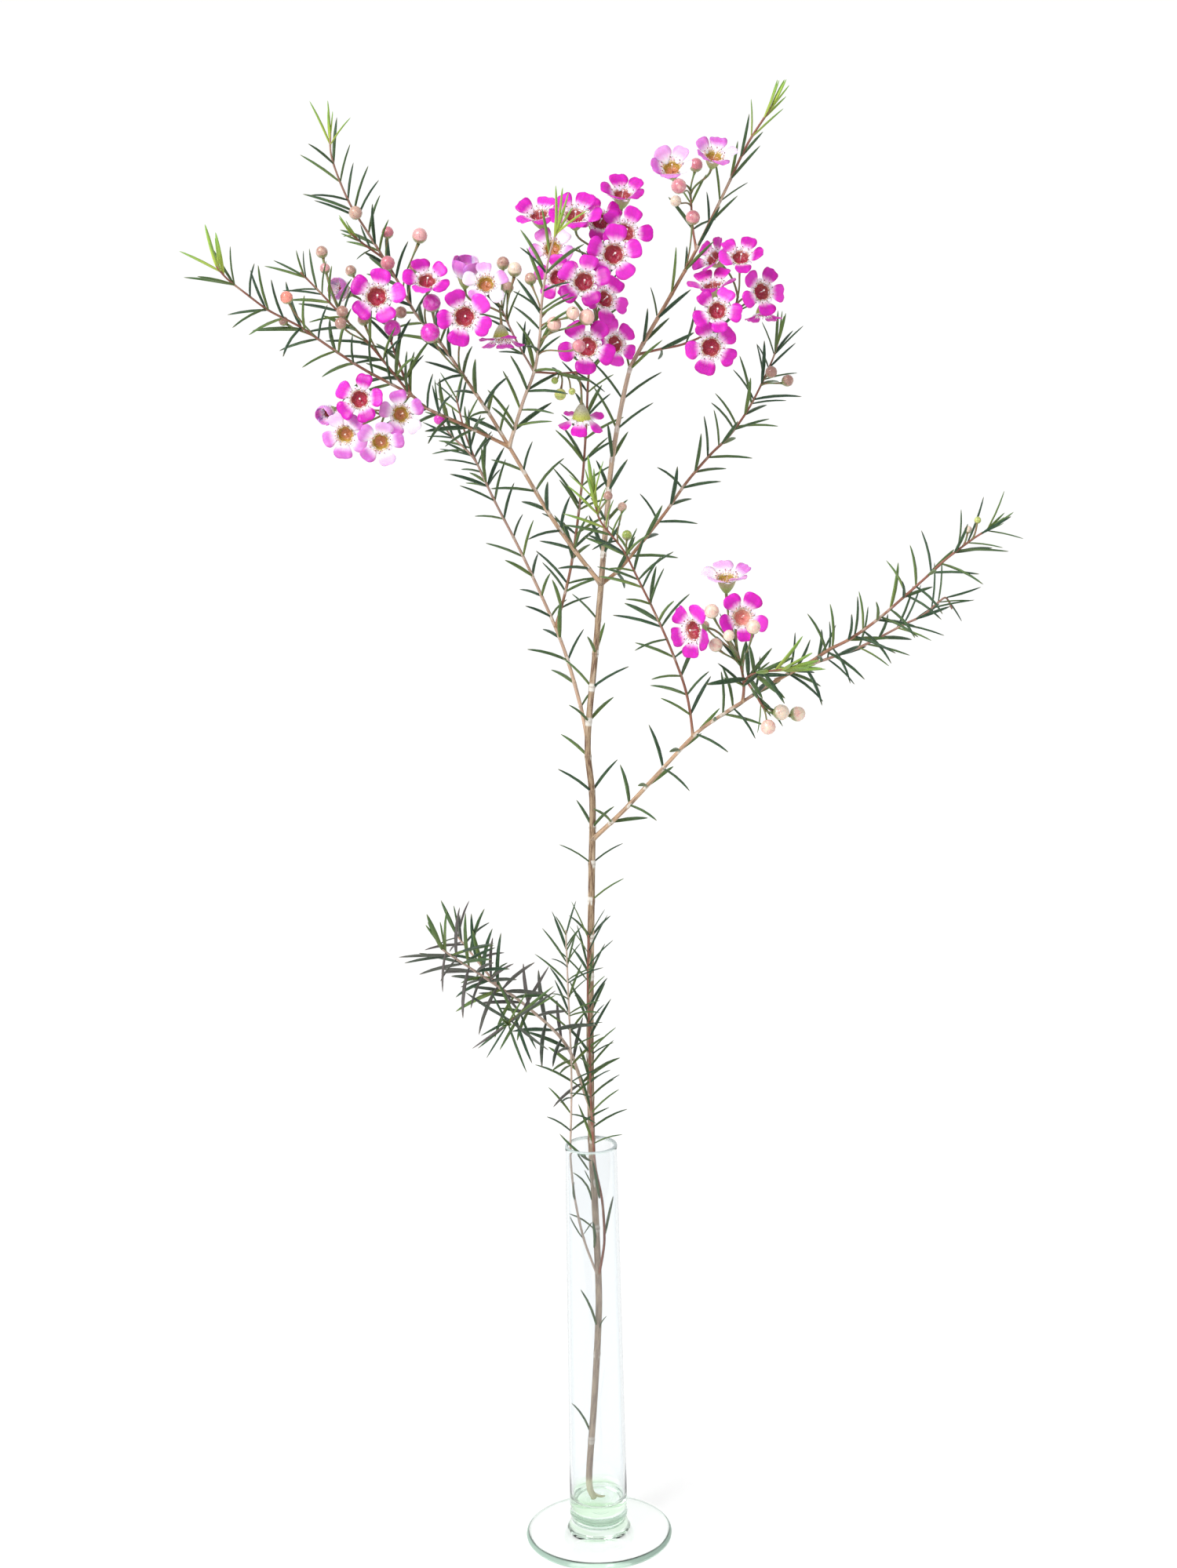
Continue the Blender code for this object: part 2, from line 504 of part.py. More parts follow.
def leaves_of(twig, surroundings, owner):
    """Opposite pairs of leaves, each pair turned a quarter from the last, bent clear of other things."""
    draw = random.Random(twig.name)
    facts = twig.facts
    reference = unit(np.cross(twig.heading(0.5), (0.3, 0.9, 0.2)))
    distance = facts["bare"]
    pair = 0
    leaves = []
    while distance < twig.length + 0.1:
        share = distance / twig.length
        heading = twig.heading(share)
        across = unit(np.cross(heading, reference))
        aside = np.cross(across, heading)
        turn = math.radians(PAIR_TURN * pair + draw.uniform(0, 2 * PAIR_STRAY))
        size = facts["leaf"] * (1 - 0.9 * max(0, share - 0.85))
        opening = facts["opening"] * (1 - facts.get("closing", 0.55) * share ** 5)
        for side in (0, math.pi):
            length = size * draw.uniform(*SIZE_SPREAD)
            spread = opening * draw.uniform(*OPENING_SPREAD)
            if draw.random() < LOST_SHARE and share < 0.9:
                continue
            for nudge, fold in LEAF_TRIES:
                angle = turn + side + nudge
                outward = across * math.cos(angle) + aside * math.sin(angle)
                line = leaf_line(twig.at(share), heading, outward, length, spread * fold)
                if not surroundings.blocked(line, LEAF_THICKNESS / 2, owner):
                    leaves.append(line)
                    surroundings.add_run(np.array(line), [LEAF_THICKNESS / 2] * 2, owner)
                    break
        spacing = facts["spacing"]
        distance += np.interp(share, np.linspace(0, 1, len(spacing)), spacing)
        pair += 1
    return leaves


def stalk_route(twig, share, end, arriving):
    start = twig.at(share)
    leaving = unit(unit(end - start) + 0.6 * twig.heading(share))
    return bent_stalk(start, leaving, end, arriving)


def plan_plant():
    """Every twig, flower stalk, bud and leaf of the plant, with the leafy stem that each belongs to."""
    twigs = grow_twigs()
    owners = owner_numbers()
    flowers = flower_places()
    surroundings = Surroundings()
    stalks = []
    buds = []
    for twig in twigs.values():
        points, radii = twig.centreline()
        surroundings.add_run(points, radii[1:], owners[twig.name])
    for (mouth, looks, scale), (*_, bearer, share) in zip(flowers, BLOOMS):
        surroundings.add_flower(mouth, looks, scale)
        foot = mouth - looks * (CUP_DEPTH * scale + GAP)
        stalks.append((bearer, stalk_route(twigs[bearer], share, foot, looks)))
    for where, width, tone, bearer, share in BUDS:
        centre = place(*where)
        radius = 0.5 * width * picture_scale(where[2])
        start = twigs[bearer].at(share)
        arriving = unit(unit(centre - start) + np.array((0, 0, 0.5)))
        stalks.append((bearer, stalk_route(twigs[bearer], share, centre, arriving)))
        buds.append((bearer, centre, arriving, radius, tone))
        surroundings.add_run(np.array([centre - 0.1, centre + 0.1]), [radius], owners[bearer])
    for bearer, route in stalks:
        surroundings.add_run(route, [STALK_RADIUS] * (len(route) - 1), owners[bearer])
    leaves = {name: leaves_of(twig, surroundings, owners[name]) for name, twig in twigs.items()}
    return twigs, flowers, stalks, buds, leaves


def clear_scene():
    for obj in list(bpy.data.objects):
        bpy.data.objects.remove(obj)


def finish(name, colour, roughness, transmission=0.0):
    """A plain finish with this colour and roughness."""
    material = bpy.data.materials.new(name)
    material.use_nodes = True
    shader = material.node_tree.nodes["Principled BSDF"]
    shader.inputs["Base Color"].default_value = (*colour, 1)
    shader.inputs["Roughness"].default_value = roughness
    shader.inputs["Metallic"].default_value = 0.0
    shader.inputs["Transmission Weight"].default_value = transmission
    return material


def new_object(name, mesh, collection, matrix=None):
    obj = bpy.data.objects.new(name, mesh)
    collection.objects.link(obj)
    if matrix is not None:
        obj.matrix_world = matrix
    return obj


def evaluated_mesh(obj):
    bpy.context.view_layer.update()
    graph = bpy.context.evaluated_depsgraph_get()
    return bpy.data.meshes.new_from_object(obj.evaluated_get(graph))


def weld(mesh):
    shape = bmesh.new()
    shape.from_mesh(mesh)
    bmesh.ops.remove_doubles(shape, verts=shape.verts, dist=0.00001)
    bmesh.ops.recalc_face_normals(shape, faces=shape.faces)
    shape.to_mesh(mesh)
    shape.free()
    return mesh


def tube(name, points, radii, sides, material, collection):
    """A tapered rod along these points, closed at both ends."""
    curve = bpy.data.curves.new(name, "CURVE")
    curve.dimensions = "3D"
    curve.bevel_depth = MM
    curve.bevel_resolution = (sides - 4) // 2
    curve.use_fill_caps = True
    spline = curve.splines.new("POLY")
    spline.points.add(len(points) - 1)
    for knot, point, radius in zip(spline.points, points, radii):
        knot.co = (*(np.asarray(point) * MM), 1)
        knot.radius = radius
    guide = new_object(name + ".guide", curve, collection)
    mesh = weld(evaluated_mesh(guide))
    bpy.data.objects.remove(guide)
    mesh.materials.append(material)
    return new_object(name, mesh, collection)


def needle_mesh(material):
    """A three-sided spindle with its root at the origin, its fullest ring at half height and its tip at 1."""
    mesh = bpy.data.meshes.new("needle")
    shape = bmesh.new()
    bmesh.ops.create_cone(shape, cap_ends=True, segments=3, radius1=LEAF_THICKNESS / math.sqrt(3) * MM,
                          radius2=0, depth=0.5, matrix=Matrix.Translation((0, 0, 0.75)))
    base = min(shape.faces, key=lambda face: face.calc_center_median().z)
    root = bmesh.ops.poke(shape, faces=[base])["verts"][0]
    root.co.z = 0
    shape.to_mesh(mesh)
    shape.free()
    mesh.materials.append(material)
    return mesh


def needle(name, line, shared, collection):
    """One leaf: the shared spindle with its root, its fullest ring and its tip moved to the leaf's line."""
    root, middle, tip = (Vector(point * MM) for point in line)
    fullest = root.lerp(middle, 2 * FULLEST_SHARE)
    turn = (tip - root).to_track_quat("Z", "X").to_matrix()
    stations = {0.0: root, 0.5: fullest, 1.0: tip}
    mesh = shared.copy()
    for vertex in mesh.vertices:
        across = turn @ Vector((vertex.co.x, vertex.co.y, 0))
        vertex.co = across + stations[round(vertex.co.z, 3)]
    return new_object(name, mesh, collection)


def bud_mesh(material):
    """A round bud, one in radius."""
    mesh = bpy.data.meshes.new("bud")
    shape = bmesh.new()
    bmesh.ops.create_icosphere(shape, subdivisions=1, radius=1.0)
    shape.to_mesh(mesh)
    shape.free()
    mesh.materials.append(material)
    return mesh


def joined(base, others, operation="UNION"):
    """The base's mesh with a whole collection joined to it, or cut from it, by one Boolean."""
    boolean = base.modifiers.new("join", "BOOLEAN")
    boolean.operation = operation
    boolean.operand_type = "COLLECTION"
    boolean.collection = others
    boolean.solver = "MANIFOLD"
    mesh = evaluated_mesh(base)
    base.modifiers.remove(boolean)
    base.data = mesh
    for obj in list(others.objects):
        bpy.data.objects.remove(obj)
    bpy.data.collections.remove(others)
    return base


def leafy_stem(name, members, plan, shared, plant):
    """One solid: its twigs, flower stalks, buds and leaves joined, and its foot cut to fit its parent."""
    twigs, _, stalks, buds, leaves = plan
    bark, needle_shape, bud_shape = shared
    pieces = bpy.data.collections.new(name + " pieces")
    bpy.context.scene.collection.children.link(pieces)
    base = None
    for member in members:
        points, radii = twigs[member].centreline()
        rod = tube(member, points, radii, 6 if member == name else 4, bark, pieces)
        if base is None:
            base = rod
    pieces.objects.unlink(base)
    plant.objects.link(base)
    base.name = name
    for number, (bearer, route) in enumerate(stalks):
        if bearer in members:
            points = route[corners(route, STALK_SLACK)]
            tube(f"stalk.{number}", points, [STALK_RADIUS] * len(points), 4, bark, pieces)
    for number, (bearer, centre, arriving, radius, _) in enumerate(buds):
        if bearer in members:
            upright = Vector(arriving).to_track_quat("Z", "X").to_matrix().to_4x4()
            where = Matrix.Translation(Vector(centre * MM)) @ upright @ Matrix.Scale(radius * MM, 4)
            new_object(f"bud.{number}", bud_shape, pieces, where)
    for member in members:
        from_tip = leaves[member][::-1]
        kept = {0, 1} | {int(k / LEAF_SHARE) for k in range(int(len(from_tip) * LEAF_SHARE))}
        for number in sorted(kept & set(range(len(from_tip)))):
            needle(f"leaf.{member}.{number}", from_tip[number], needle_shape, pieces)
    joined(base, pieces)
    parent = twigs[members[0]].parent
    if parent:
        cutters = bpy.data.collections.new(name + " fork")
        bpy.context.scene.collection.children.link(cutters)
        points, radii = parent.centreline()
        tube("fork", points, [r + GAP for r in radii], 6, bark, cutters)
        joined(base, cutters, "DIFFERENCE")
    return base


def turned(name, profile, steps, collection):
    """A turned solid from (radius, height) points in millimetres that run down its outer side."""
    mesh = bpy.data.meshes.new(name)
    mesh.from_pydata([(r * MM, 0, z * MM) for r, z in profile],
                     [(i, i + 1) for i in range(len(profile) - 1)], [])
    obj = new_object(name, mesh, collection)
    screw = obj.modifiers.new("turn", "SCREW")
    screw.steps = steps
    screw.render_steps = steps
    screw.use_merge_vertices = True
    screw.merge_threshold = 0.00001
    return obj


def build_vase(collection, glass):
    """A tapered glass tube on a solid ringed plug, fused to a thin disc foot."""
    rim = RIM_RADIUS
    bore = TUBE_FOOT_RADIUS - WALL
    ring = TUBE_FOOT_RADIUS
    groove = TUBE_FOOT_RADIUS - PLUG_RING
    plug = PLUG_TOP - FOOT_RISE
    floor = ((0, PLUG_TOP + PLUG_DOME), (0.6 * bore, PLUG_TOP + 0.5 * PLUG_DOME), (0.9 * bore, PLUG_TOP))
    tube_wall = (
        (bore, PLUG_TOP + PLUG_DOME),
        (rim - WALL, VASE_HEIGHT - 0.5 * WALL),
        (rim - 0.5 * WALL, VASE_HEIGHT),
        (rim, VASE_HEIGHT - 0.5 * WALL),
        (ring, PLUG_TOP),
    )
    plug_rings = (
        (groove, PLUG_TOP - 0.25 * plug),
        (ring, PLUG_TOP - 0.5 * plug),
        (groove, PLUG_TOP - 0.88 * plug),
        (ring, FOOT_RISE),
    )
    foot = (
        (FOOT_RADIUS - 0.6 * FOOT_EDGE, FOOT_EDGE),
        (FOOT_RADIUS, 0.5 * FOOT_EDGE),
        (FOOT_RADIUS - 0.4 * FOOT_EDGE, 0),
        (0, 0),
    )
    profile = floor + tube_wall + plug_rings + foot
    vase = turned("bud_vase", profile, VASE_SIDES, collection)
    vase.data.materials.append(glass)
    vase.data.shade_smooth()
    return vase


def petal(name, lift, width, number, material, collection):
    """A flat petal with a broad end, rising from the middle of one side of the cup."""
    length = BLOOM_RADIUS - CUP_RADIUS + PETAL_ROOT
    mesh = bpy.data.meshes.new(name)
    shape = bmesh.new()
    outline = bmesh.ops.create_circle(shape, cap_ends=True, segments=5, radius=1.0)["verts"]
    for vertex in outline:
        aside, outward = vertex.co.x, ((1 - vertex.co.y) / PENTAGON_DEPTH) ** SHOULDER_POWER
        vertex.co = (outward * length * MM, aside * width * MM, 0)
    thick = bmesh.ops.extrude_face_region(shape, geom=list(shape.faces))["geom"]
    for item in thick:
        if isinstance(item, bmesh.types.BMVert):
            item.co.z += PETAL_THICKNESS * MM
    bmesh.ops.recalc_face_normals(shape, faces=shape.faces)
    shape.to_mesh(mesh)
    shape.free()
    mesh.materials.append(material)
    spin = Matrix.Rotation(2 * math.pi * (number + 0.5) / 5, 4, "Z")
    seat = Matrix.Translation(((CUP_RADIUS * FLAT_SIDE - PETAL_ROOT) * MM, 0, -PETAL_SEAT * MM))
    return new_object(name, mesh, collection, spin @ seat @ Matrix.Rotation(-math.radians(lift), 4, "Y"))


def flower_mesh(form, cup_finish, petal_finish):
    """A flower looking along +Z from the mouth of its cup: the five-sided cone of the cup and five petals."""
    workshop = bpy.data.collections.new(form)
    bpy.context.scene.collection.children.link(workshop)
    petals = bpy.data.collections.new(form + " petals")
    bpy.context.scene.collection.children.link(petals)
    profile = ((0, -CUP_FLOOR), (CUP_RADIUS, 0), (CUP_FOOT_RADIUS, -CUP_DEPTH), (0, -CUP_DEPTH))
    rough = turned("cup", profile, 5, workshop)
    cup = new_object(form, weld(evaluated_mesh(rough)), workshop)
    bpy.data.objects.remove(rough)
    cup.data.materials.append(cup_finish)
    lift, width = PETAL_POSES[form]
    for number in range(5):
        petal(f"petal.{number}", lift, width, number, petal_finish, petals)
    joined(cup, petals)
    mesh = cup.data
    bpy.data.objects.remove(cup)
    bpy.data.collections.remove(workshop)
    return mesh


def build_flowers(flowers, shapes, collection):
    for number, ((mouth, looks, scale), facts) in enumerate(zip(flowers, BLOOMS), 1):
        spin, form, tone = facts[3], facts[5], facts[6]
        right = unit(np.cross((0, 0, 1), looks))
        upright = Matrix(np.column_stack((right, np.cross(looks, right), looks))).to_4x4()
        turn = Matrix.Rotation(math.radians(spin) - math.pi / 5, 4, "Z")
        where = Matrix.Translation(Vector(mouth * MM)) @ upright @ turn @ Matrix.Scale(scale, 4)
        new_object(f"bloom_{number:02d}", shapes[form, tone], collection, where)


def main():
    clear_scene()
    plant = bpy.data.collections.new("waxflower stem in vase")
    bpy.context.scene.collection.children.link(plant)
    glass = finish("clear_glass", (0.86, 0.95, 0.90), 0.03, 0.95)
    bark = finish("brown_bark", (0.33, 0.19, 0.10), 0.7)
    leaf_green = finish("leaf_green", (0.06, 0.16, 0.08), 0.45)
    bud_cream = finish("bud_cream", (0.75, 0.52, 0.42), 0.4)
    cup_red = finish("cup_red", (0.30, 0.03, 0.04), 0.35)
    petals = {
        "magenta": finish("petal_magenta", (0.72, 0.03, 0.50), 0.5),
        "pale": finish("petal_pale", (0.83, 0.45, 0.75), 0.5),
    }
    build_vase(plant, glass)
    plan = plan_plant()
    shared = (bark, needle_mesh(leaf_green), bud_mesh(bud_cream))
    for name, members in LEAFY_STEMS.items():
        leafy_stem(name, members, plan, shared, plant)
    shapes = {(form, tone): flower_mesh(form, cup_red, petals[tone])
              for form in PETAL_POSES for tone in petals}
    _, flowers, *_ = plan
    build_flowers(flowers, shapes, plant)


main()
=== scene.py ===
import json
import math
import random

import bpy
import numpy as np
from mathutils import Matrix, Vector

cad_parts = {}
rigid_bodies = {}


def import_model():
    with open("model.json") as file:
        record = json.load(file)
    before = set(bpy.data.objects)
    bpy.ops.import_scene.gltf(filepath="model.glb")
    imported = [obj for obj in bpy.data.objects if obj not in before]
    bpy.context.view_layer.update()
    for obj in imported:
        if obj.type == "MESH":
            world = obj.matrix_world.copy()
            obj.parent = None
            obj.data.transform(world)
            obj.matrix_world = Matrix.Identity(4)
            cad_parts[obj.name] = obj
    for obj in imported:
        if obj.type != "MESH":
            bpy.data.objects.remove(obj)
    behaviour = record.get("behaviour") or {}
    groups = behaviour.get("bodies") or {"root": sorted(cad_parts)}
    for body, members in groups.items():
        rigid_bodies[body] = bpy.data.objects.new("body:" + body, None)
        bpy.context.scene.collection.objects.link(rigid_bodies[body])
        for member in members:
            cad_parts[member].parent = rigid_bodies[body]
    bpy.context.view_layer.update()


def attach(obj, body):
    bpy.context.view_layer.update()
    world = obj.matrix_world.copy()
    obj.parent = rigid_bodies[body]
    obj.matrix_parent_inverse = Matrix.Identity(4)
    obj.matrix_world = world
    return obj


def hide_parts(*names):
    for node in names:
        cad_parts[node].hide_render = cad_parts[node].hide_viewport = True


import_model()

MM = 0.001

# The least length that something is divided by, and how much two heights on one level may differ
TINY = 1e-9
LEVEL_SLACK = 1e-6

# The vase, in millimetres, and the numbers of its sides and of the rings up its tube
VASE_HEIGHT = 165.0
RIM_RADIUS = 10.2
WALL = 1.1
PLUG_TOP = 16.5
PLUG_DOME = 2.2
VASE_SIDES = 72
TUBE_RADIUS = 11.6
TUBE_TAPER = 1.4
TUBE_LENGTH = 145
TUBE_RINGS = 12

# The vase's outline from below the foot to the middle of the glass floor, as radii and heights
FOOT_OUTLINE = (
    (20.0, 0.5), (26.4, 0.05), (27.9, 0.0), (28.8, 0.45), (29.3, 1.1), (29.4, 1.7), (29.2, 2.4),
    (28.5, 3.0), (27.2, 3.25), (23.5, 3.5), (19.0, 3.85), (15.5, 4.2), (13.0, 4.6), (12.0, 5.2),
)
PLUG_OUTLINE = (
    (11.7, 6.0), (11.55, 6.7), (11.0, 7.5), (10.75, 8.1), (11.05, 8.8), (11.55, 9.8), (11.6, 10.8),
    (11.1, 11.8), (10.85, 12.4), (11.1, 13.1), (11.5, 14.2), (11.6, 15.6),
)
LIP_OUTLINE = (
    (10.25, 163.2), (10.32, 164.2), (10.1, 164.8), (9.65, 165.0), (9.25, 164.7), (9.1, 164.0),
)
FLOOR_OUTLINE = (
    (10.4, 18.6), (10.1, 17.4), (9.2, 16.7), (7.6, 16.8), (5.4, 17.5), (3.0, 18.3), (1.0, 18.65),
)
FLOOR_MIDDLE = 18.7

# How uneven the blown glass is: from a height up the rim sags on one side, by twice the first number.
# The plug's rings waver up and down, by the next number at their middle height and less up to a reach
# from it, within an edge.
RIM_SAG = 0.25
SAG_START = 120
RING_WAVER = 0.35
RINGS_MIDDLE = 10
RINGS_REACH = 7
RINGS_EDGE = 12

# The plant, in millimetres
BLOOM_RADIUS = 11.0
CUP_DEPTH = 6.4
CUP_RADIUS = 3.9
CUP_FLOOR = 2.2
LEAF_THICKNESS = 1.4
STALK_RADIUS = 0.42
GAP = 0.3

# A twig's curve: how close its points lie, how many are tried in each stretch of its route, over what
# share of it its heading is measured, and how far the straight stretches that stand for it while leaves
# are placed may stray from it
TWIG_STEP = 1.0
CURVE_TRIES = 12
HEADING_REACH = 0.01
TWIG_SLACK = 0.25

# A flower stalk's curve: how far its ends lead into it, its number of points, and how much it follows
# its twig where it sets out
STALK_LEAD = 0.38
STALK_POINTS = 9
STALK_FOLLOW = 0.6

# What is added to the way from its twig to a bud, for the way that its stalk arrives, and then for the
# way that the bud itself looks, which is nearer to the front
BUD_LIFT = np.array((0, 0, 0.5))
BUD_TURN = np.array((0, -0.9, 0.1))

# How far from its middle a bud's stand-in reaches along each axis, while leaves are placed
BUD_CORE = 0.1

# How a leaf's size and opening vary from one leaf to the next, as shares of its twig's own
SIZE_SPREAD = (0.8, 1.12)
OPENING_SPREAD = (0.75, 1.3)

# Beyond a share of its twig a leaf is smaller, at this rate, and towards the tip it opens less by this
# share
TIP_START = 0.85
TIP_SHRINK = 0.9
CLOSING = 0.55

# The shares of its opening at which a leaf sets out and ends
LEAF_ARCH = (0.91, 1.1)

# The share of leaves that are lost, and the share of a twig beyond which none is lost
LOST_SHARE = 0.08
KEPT_BEYOND = 0.9

# A pair of leaves is turned this many degrees from the one below it, and strays from its even place by
# up to the second number. The turns are measured from a way that no twig runs.
PAIR_TURN = 90
PAIR_STRAY = 22
ODD_WAY = (0.3, 0.9, 0.2)

# Where a leaf would touch something, it turns aside by the first number, in radians, and opens to the
# second share. The samples are the shares of each half of a leaf where it has to stay clear.
LEAF_TRIES = ((0, 1), (0.5, 1), (-0.5, 1), (0, 0.6), (1.0, 0.8), (-1.0, 0.8), (0.3, 0.4))
LEAF_CLEARANCE = 1.0
LEAF_SAMPLES = (0.25, 0.5, 0.75, 1.0)

# A leaf's half width and half thickness, as shares of its length, and its least half width. Its top is
# flatter, and its keel deeper, than the half thickness by these shares.
LEAF_HALF_WIDTH = 0.055
LEAF_HALF_THICKNESS = 0.034
LEAST_HALF_WIDTH = 0.42
TOP_SHARE = 0.45
KEEL_SHARE = 1.25

# A leaf one long: the heights, half widths and half depths of its rings
NEEDLE_RINGS = (
    (0.0, 0.35, 0.55), (0.05, 0.55, 0.75), (0.2, 0.86, 1.0), (0.42, 1.0, 1.0), (0.68, 0.86, 0.9),
    (0.86, 0.56, 0.7), (0.96, 0.26, 0.4),
)

# How fresh leaves are: at most this much below a tip, and from a twig's fresh share on they turn fresh
# over this share of the twig, from this start. Then the ranges of dusky leaves and of young ones round
# a tip, and the leaves in the vase.
FRESH_MOST = 0.26
FRESH_REACH = 0.06
FRESH_START = 0.3
DUSKY_SPREAD = (0.15, 0.6)
YOUNG_SPREAD = (0.7, 1)
VASE_FRESHNESS = 0.1

# How many young leaves stand close round a fresh tip, the turn from one to the next in radians, how far
# apart they grow in millimetres, the degrees that the first opens and that each next one adds, and how
# their size varies
TIP_LEAVES = 4
TIP_TURN = 2.4
TIP_SPACING = 1.3
TIP_OPENING = 2
TIP_OPENING_STEP = 3
TIP_SIZE_SPREAD = (0.75, 1.1)

# The twigs with a fresh tip: the share of the twig where its leaves turn yellow-green, how far the
# young leaves round its tip turn upward, their length in millimetres, and how yellow they are
FRESH_TIPS = {
    "main_stem": (0.96, 0.2, 13, 0.9),
    "left_branch": (0.95, 0.5, 11, 0.9),
    "far_left_branch": (0.96, 2.2, 14, 1.0),
    "middle_shoot": (0.86, 0.3, 13, 0.85),
    "low_right_shoot": (0.7, 0.1, 19, 0.6),
    "low_right_upper": (1.1, 0.2, 9, 0.25),
    "centre_branch": (0.95, 0.5, 10, 0.8),
    "low_left_branch": (1.1, 0.9, 17, 0.2),
    "low_left_side": (1.1, 0.6, 14, 0.1),
    "low_left_shoot": (1.1, 0.2, 12, 0.25),
    "left_branch_side": (0.9, 0.5, 7, 0.7),
    "inner_right_shoot": (0.85, 0.5, 15, 0.65),
    "right_branch": (1.1, 0.5, 12, 0.3),
}

# What stands for these on a twig without a fresh tip
NO_TIP = (2, 0, 0, 0)

# The twigs with more leaves between their regular pairs: the shares of the twig's length where they
# begin and end, and how far apart those pairs are in millimetres. They all open to the same two sides.
MORE_LEAVES = {
    "far_left_side": (0.1, 1, 8),
    "far_left_upright": (0.1, 1, 11),
    "far_left_branch": (0.12, 1, 15),
    "middle_shoot": (0.1, 1, 15),
    "middle_shoot_left": (0.1, 1, 14),
    "rear_left_branch": (0.78, 1, 10),
    "rear_left_side": (0.1, 1, 20),
    "centre_branch": (0.1, 1, 17),
    "inner_right_shoot": (0.45, 1, 10),
    "right_branch": (0.6, 1, 11),
    "low_right_branch": (0.45, 1, 15),
    "low_right_upper": (0.25, 1, 12),
    "low_right_stalk": (0.2, 1, 8),
    "left_branch": (0.42, 0.85, 14),
    "thin_shoot": (0.72, 1, 7),
    "low_left_branch": (0.6, 1, 8),
    "low_left_side": (0.1, 1, 10),
}

# The degrees that those pairs turn from the odd way, and from one pair to the next
SIDE_TURN = 78
SAME_SIDES = 180

# The twigs with grey-purple leaves among the green, with the share of such leaves
DUSKY = {"low_left_branch": 0.55, "low_left_side": 0.55, "low_left_shoot": 0.35}

# The twigs with bleached bark, and how bleached it is
BLEACHED = {
    "thin_shoot": 0.75, "low_left_branch": 0.55, "low_left_side": 0.4, "middle_shoot": 0.45,
    "middle_shoot_left": 0.3, "rear_left_branch": 0.3, "left_branch": 0.15, "low_right_branch": 0.15,
}

# How bleached the main stem is, by shares of its length
STEM_BLEACH = (
    (0, 0.42), (0.2, 0.32), (0.3, 0.1), (0.34, 0), (0.62, 0), (0.7, 0.2), (0.78, 0.5), (0.86, 0),
)

# The twigs with slender leaves, and how wide those are as a share of others. Below the given height in
# millimetres the main stem's leaves are slender too, and every leaf is by the last share towards a tip.
SLENDER = {
    "low_left_branch": 0.88,
    "low_left_side": 0.88,
    "low_left_shoot": 0.66,
    "thin_shoot": 0.72,
    "front_shoot": 0.75,
}
SLENDER_BELOW = 280
SLENDER_STEM = 0.7
TIP_SLENDERNESS = 0.35

# The leaves in the vase, by the places in the picture of their root, middle and tip
VASE_LEAVES = (
    ((753, 1479, -3), (736, 1467, -6), (713, 1445, -8)),
    ((750, 1491, -2), (743, 1480, -4), (733, 1466, -6)),
    ((754, 1529, 1), (747, 1508, -1), (730, 1494, -2)),
    ((764, 1527, -6), (760, 1502, -7), (755, 1478, -7)),
    ((753, 1507, 2), (749, 1499, 1), (745, 1491, 0)),
    ((733, 1530, -1), (731, 1519, -2), (732, 1506, -2)),
    ((756, 1565, 2), (741, 1553, 1), (724, 1547, 0)),
    ((742, 1577, -1), (733, 1562, -2), (727, 1550, -2)),
    ((754, 1558, 3), (749, 1565, 3), (743, 1574, 2)),
    ((770, 1575, -3), (775, 1549, -3), (781, 1524, -2)),
    ((757, 1590, 1), (758, 1573, -1), (755, 1556, -2)),
    ((760, 1688, -1), (753, 1665, -2), (740, 1643, -3)),
    ((764, 1692, -1), (767, 1684, -2), (773, 1677, -3)),
    ((753, 1826, -3), (744, 1805, -4), (730, 1788, -4)),
)

# The bark: the number of sides of the main stem and of a twig, the share of its listed radius that a
# twig has, how it flares where it grows out and over what length, how it swells at a pair of leaves and
# over what length, and how long the peeled stretch at the cut end is
STEM_SIDES = 14
TWIG_SIDES = 9
TWIG_SHARE = 0.9
FLARE = 0.5
FLARE_REACH = 1.6
KNOT_SWELL = 0.16
KNOT_REACH = 0.9
PEELED_LENGTH = 9.8

# Bark ages with the radius: it is young up to the first, older by one for each of the second, and at
# most as old as the third number
YOUNG_RADIUS = 0.42
AGEING_RADIUS = 0.5
OLDEST = 1.5

# The strip of torn wood at the stem's cut end: places in the picture, and its radius there. It starts
# on the stem, this many points of its curve from the end.
TORN_STRIP = ((757, 1904, -5.4), (762, 1906.5, -5), (767, 1907.5, -4.6), (771, 1907, -4.2))
TORN_RADII = (0.9, 0.75, 0.6, 0.5, 0.25)
TORN_START = 2
TORN_SIDES = 7

# Stalks: their sides, how they flare where they grow out, a flower stalk's radius and its radius under
# the cup, how far it reaches into the cup, and a bud stalk's radius and its share of the bud's at its
# end
STALK_SIDES = 6
STALK_FLARE = 1.3
FLOWER_STALK = 0.40
FLOWER_STALK_END = 0.85
STALK_INTO_CUP = 0.2
BUD_STALK = 0.33
BUD_STALK_END = 0.3

# A bud one in radius, as radii and heights from its stalk on, and the height of its tip
BUD_OUTLINE = (
    (0.22, -1.16), (0.42, -1.04), (0.70, -0.84), (0.93, -0.5), (1.01, -0.12), (1.0, 0.06), (0.94, 0.12),
    (0.91, 0.38), (0.72, 0.66), (0.46, 0.86), (0.2, 0.96),
)
BUD_TIP = 0.985
BUD_SIDES = 12

# A bud's share of its solid's size, how many of its radii from its middle its stalk stops, and how near
# to the middle the bend of that stalk comes
BUD_SHARE = 0.99
BUD_STALK_STOP = 1.08
BUD_STALK_CLEAR = 1.05

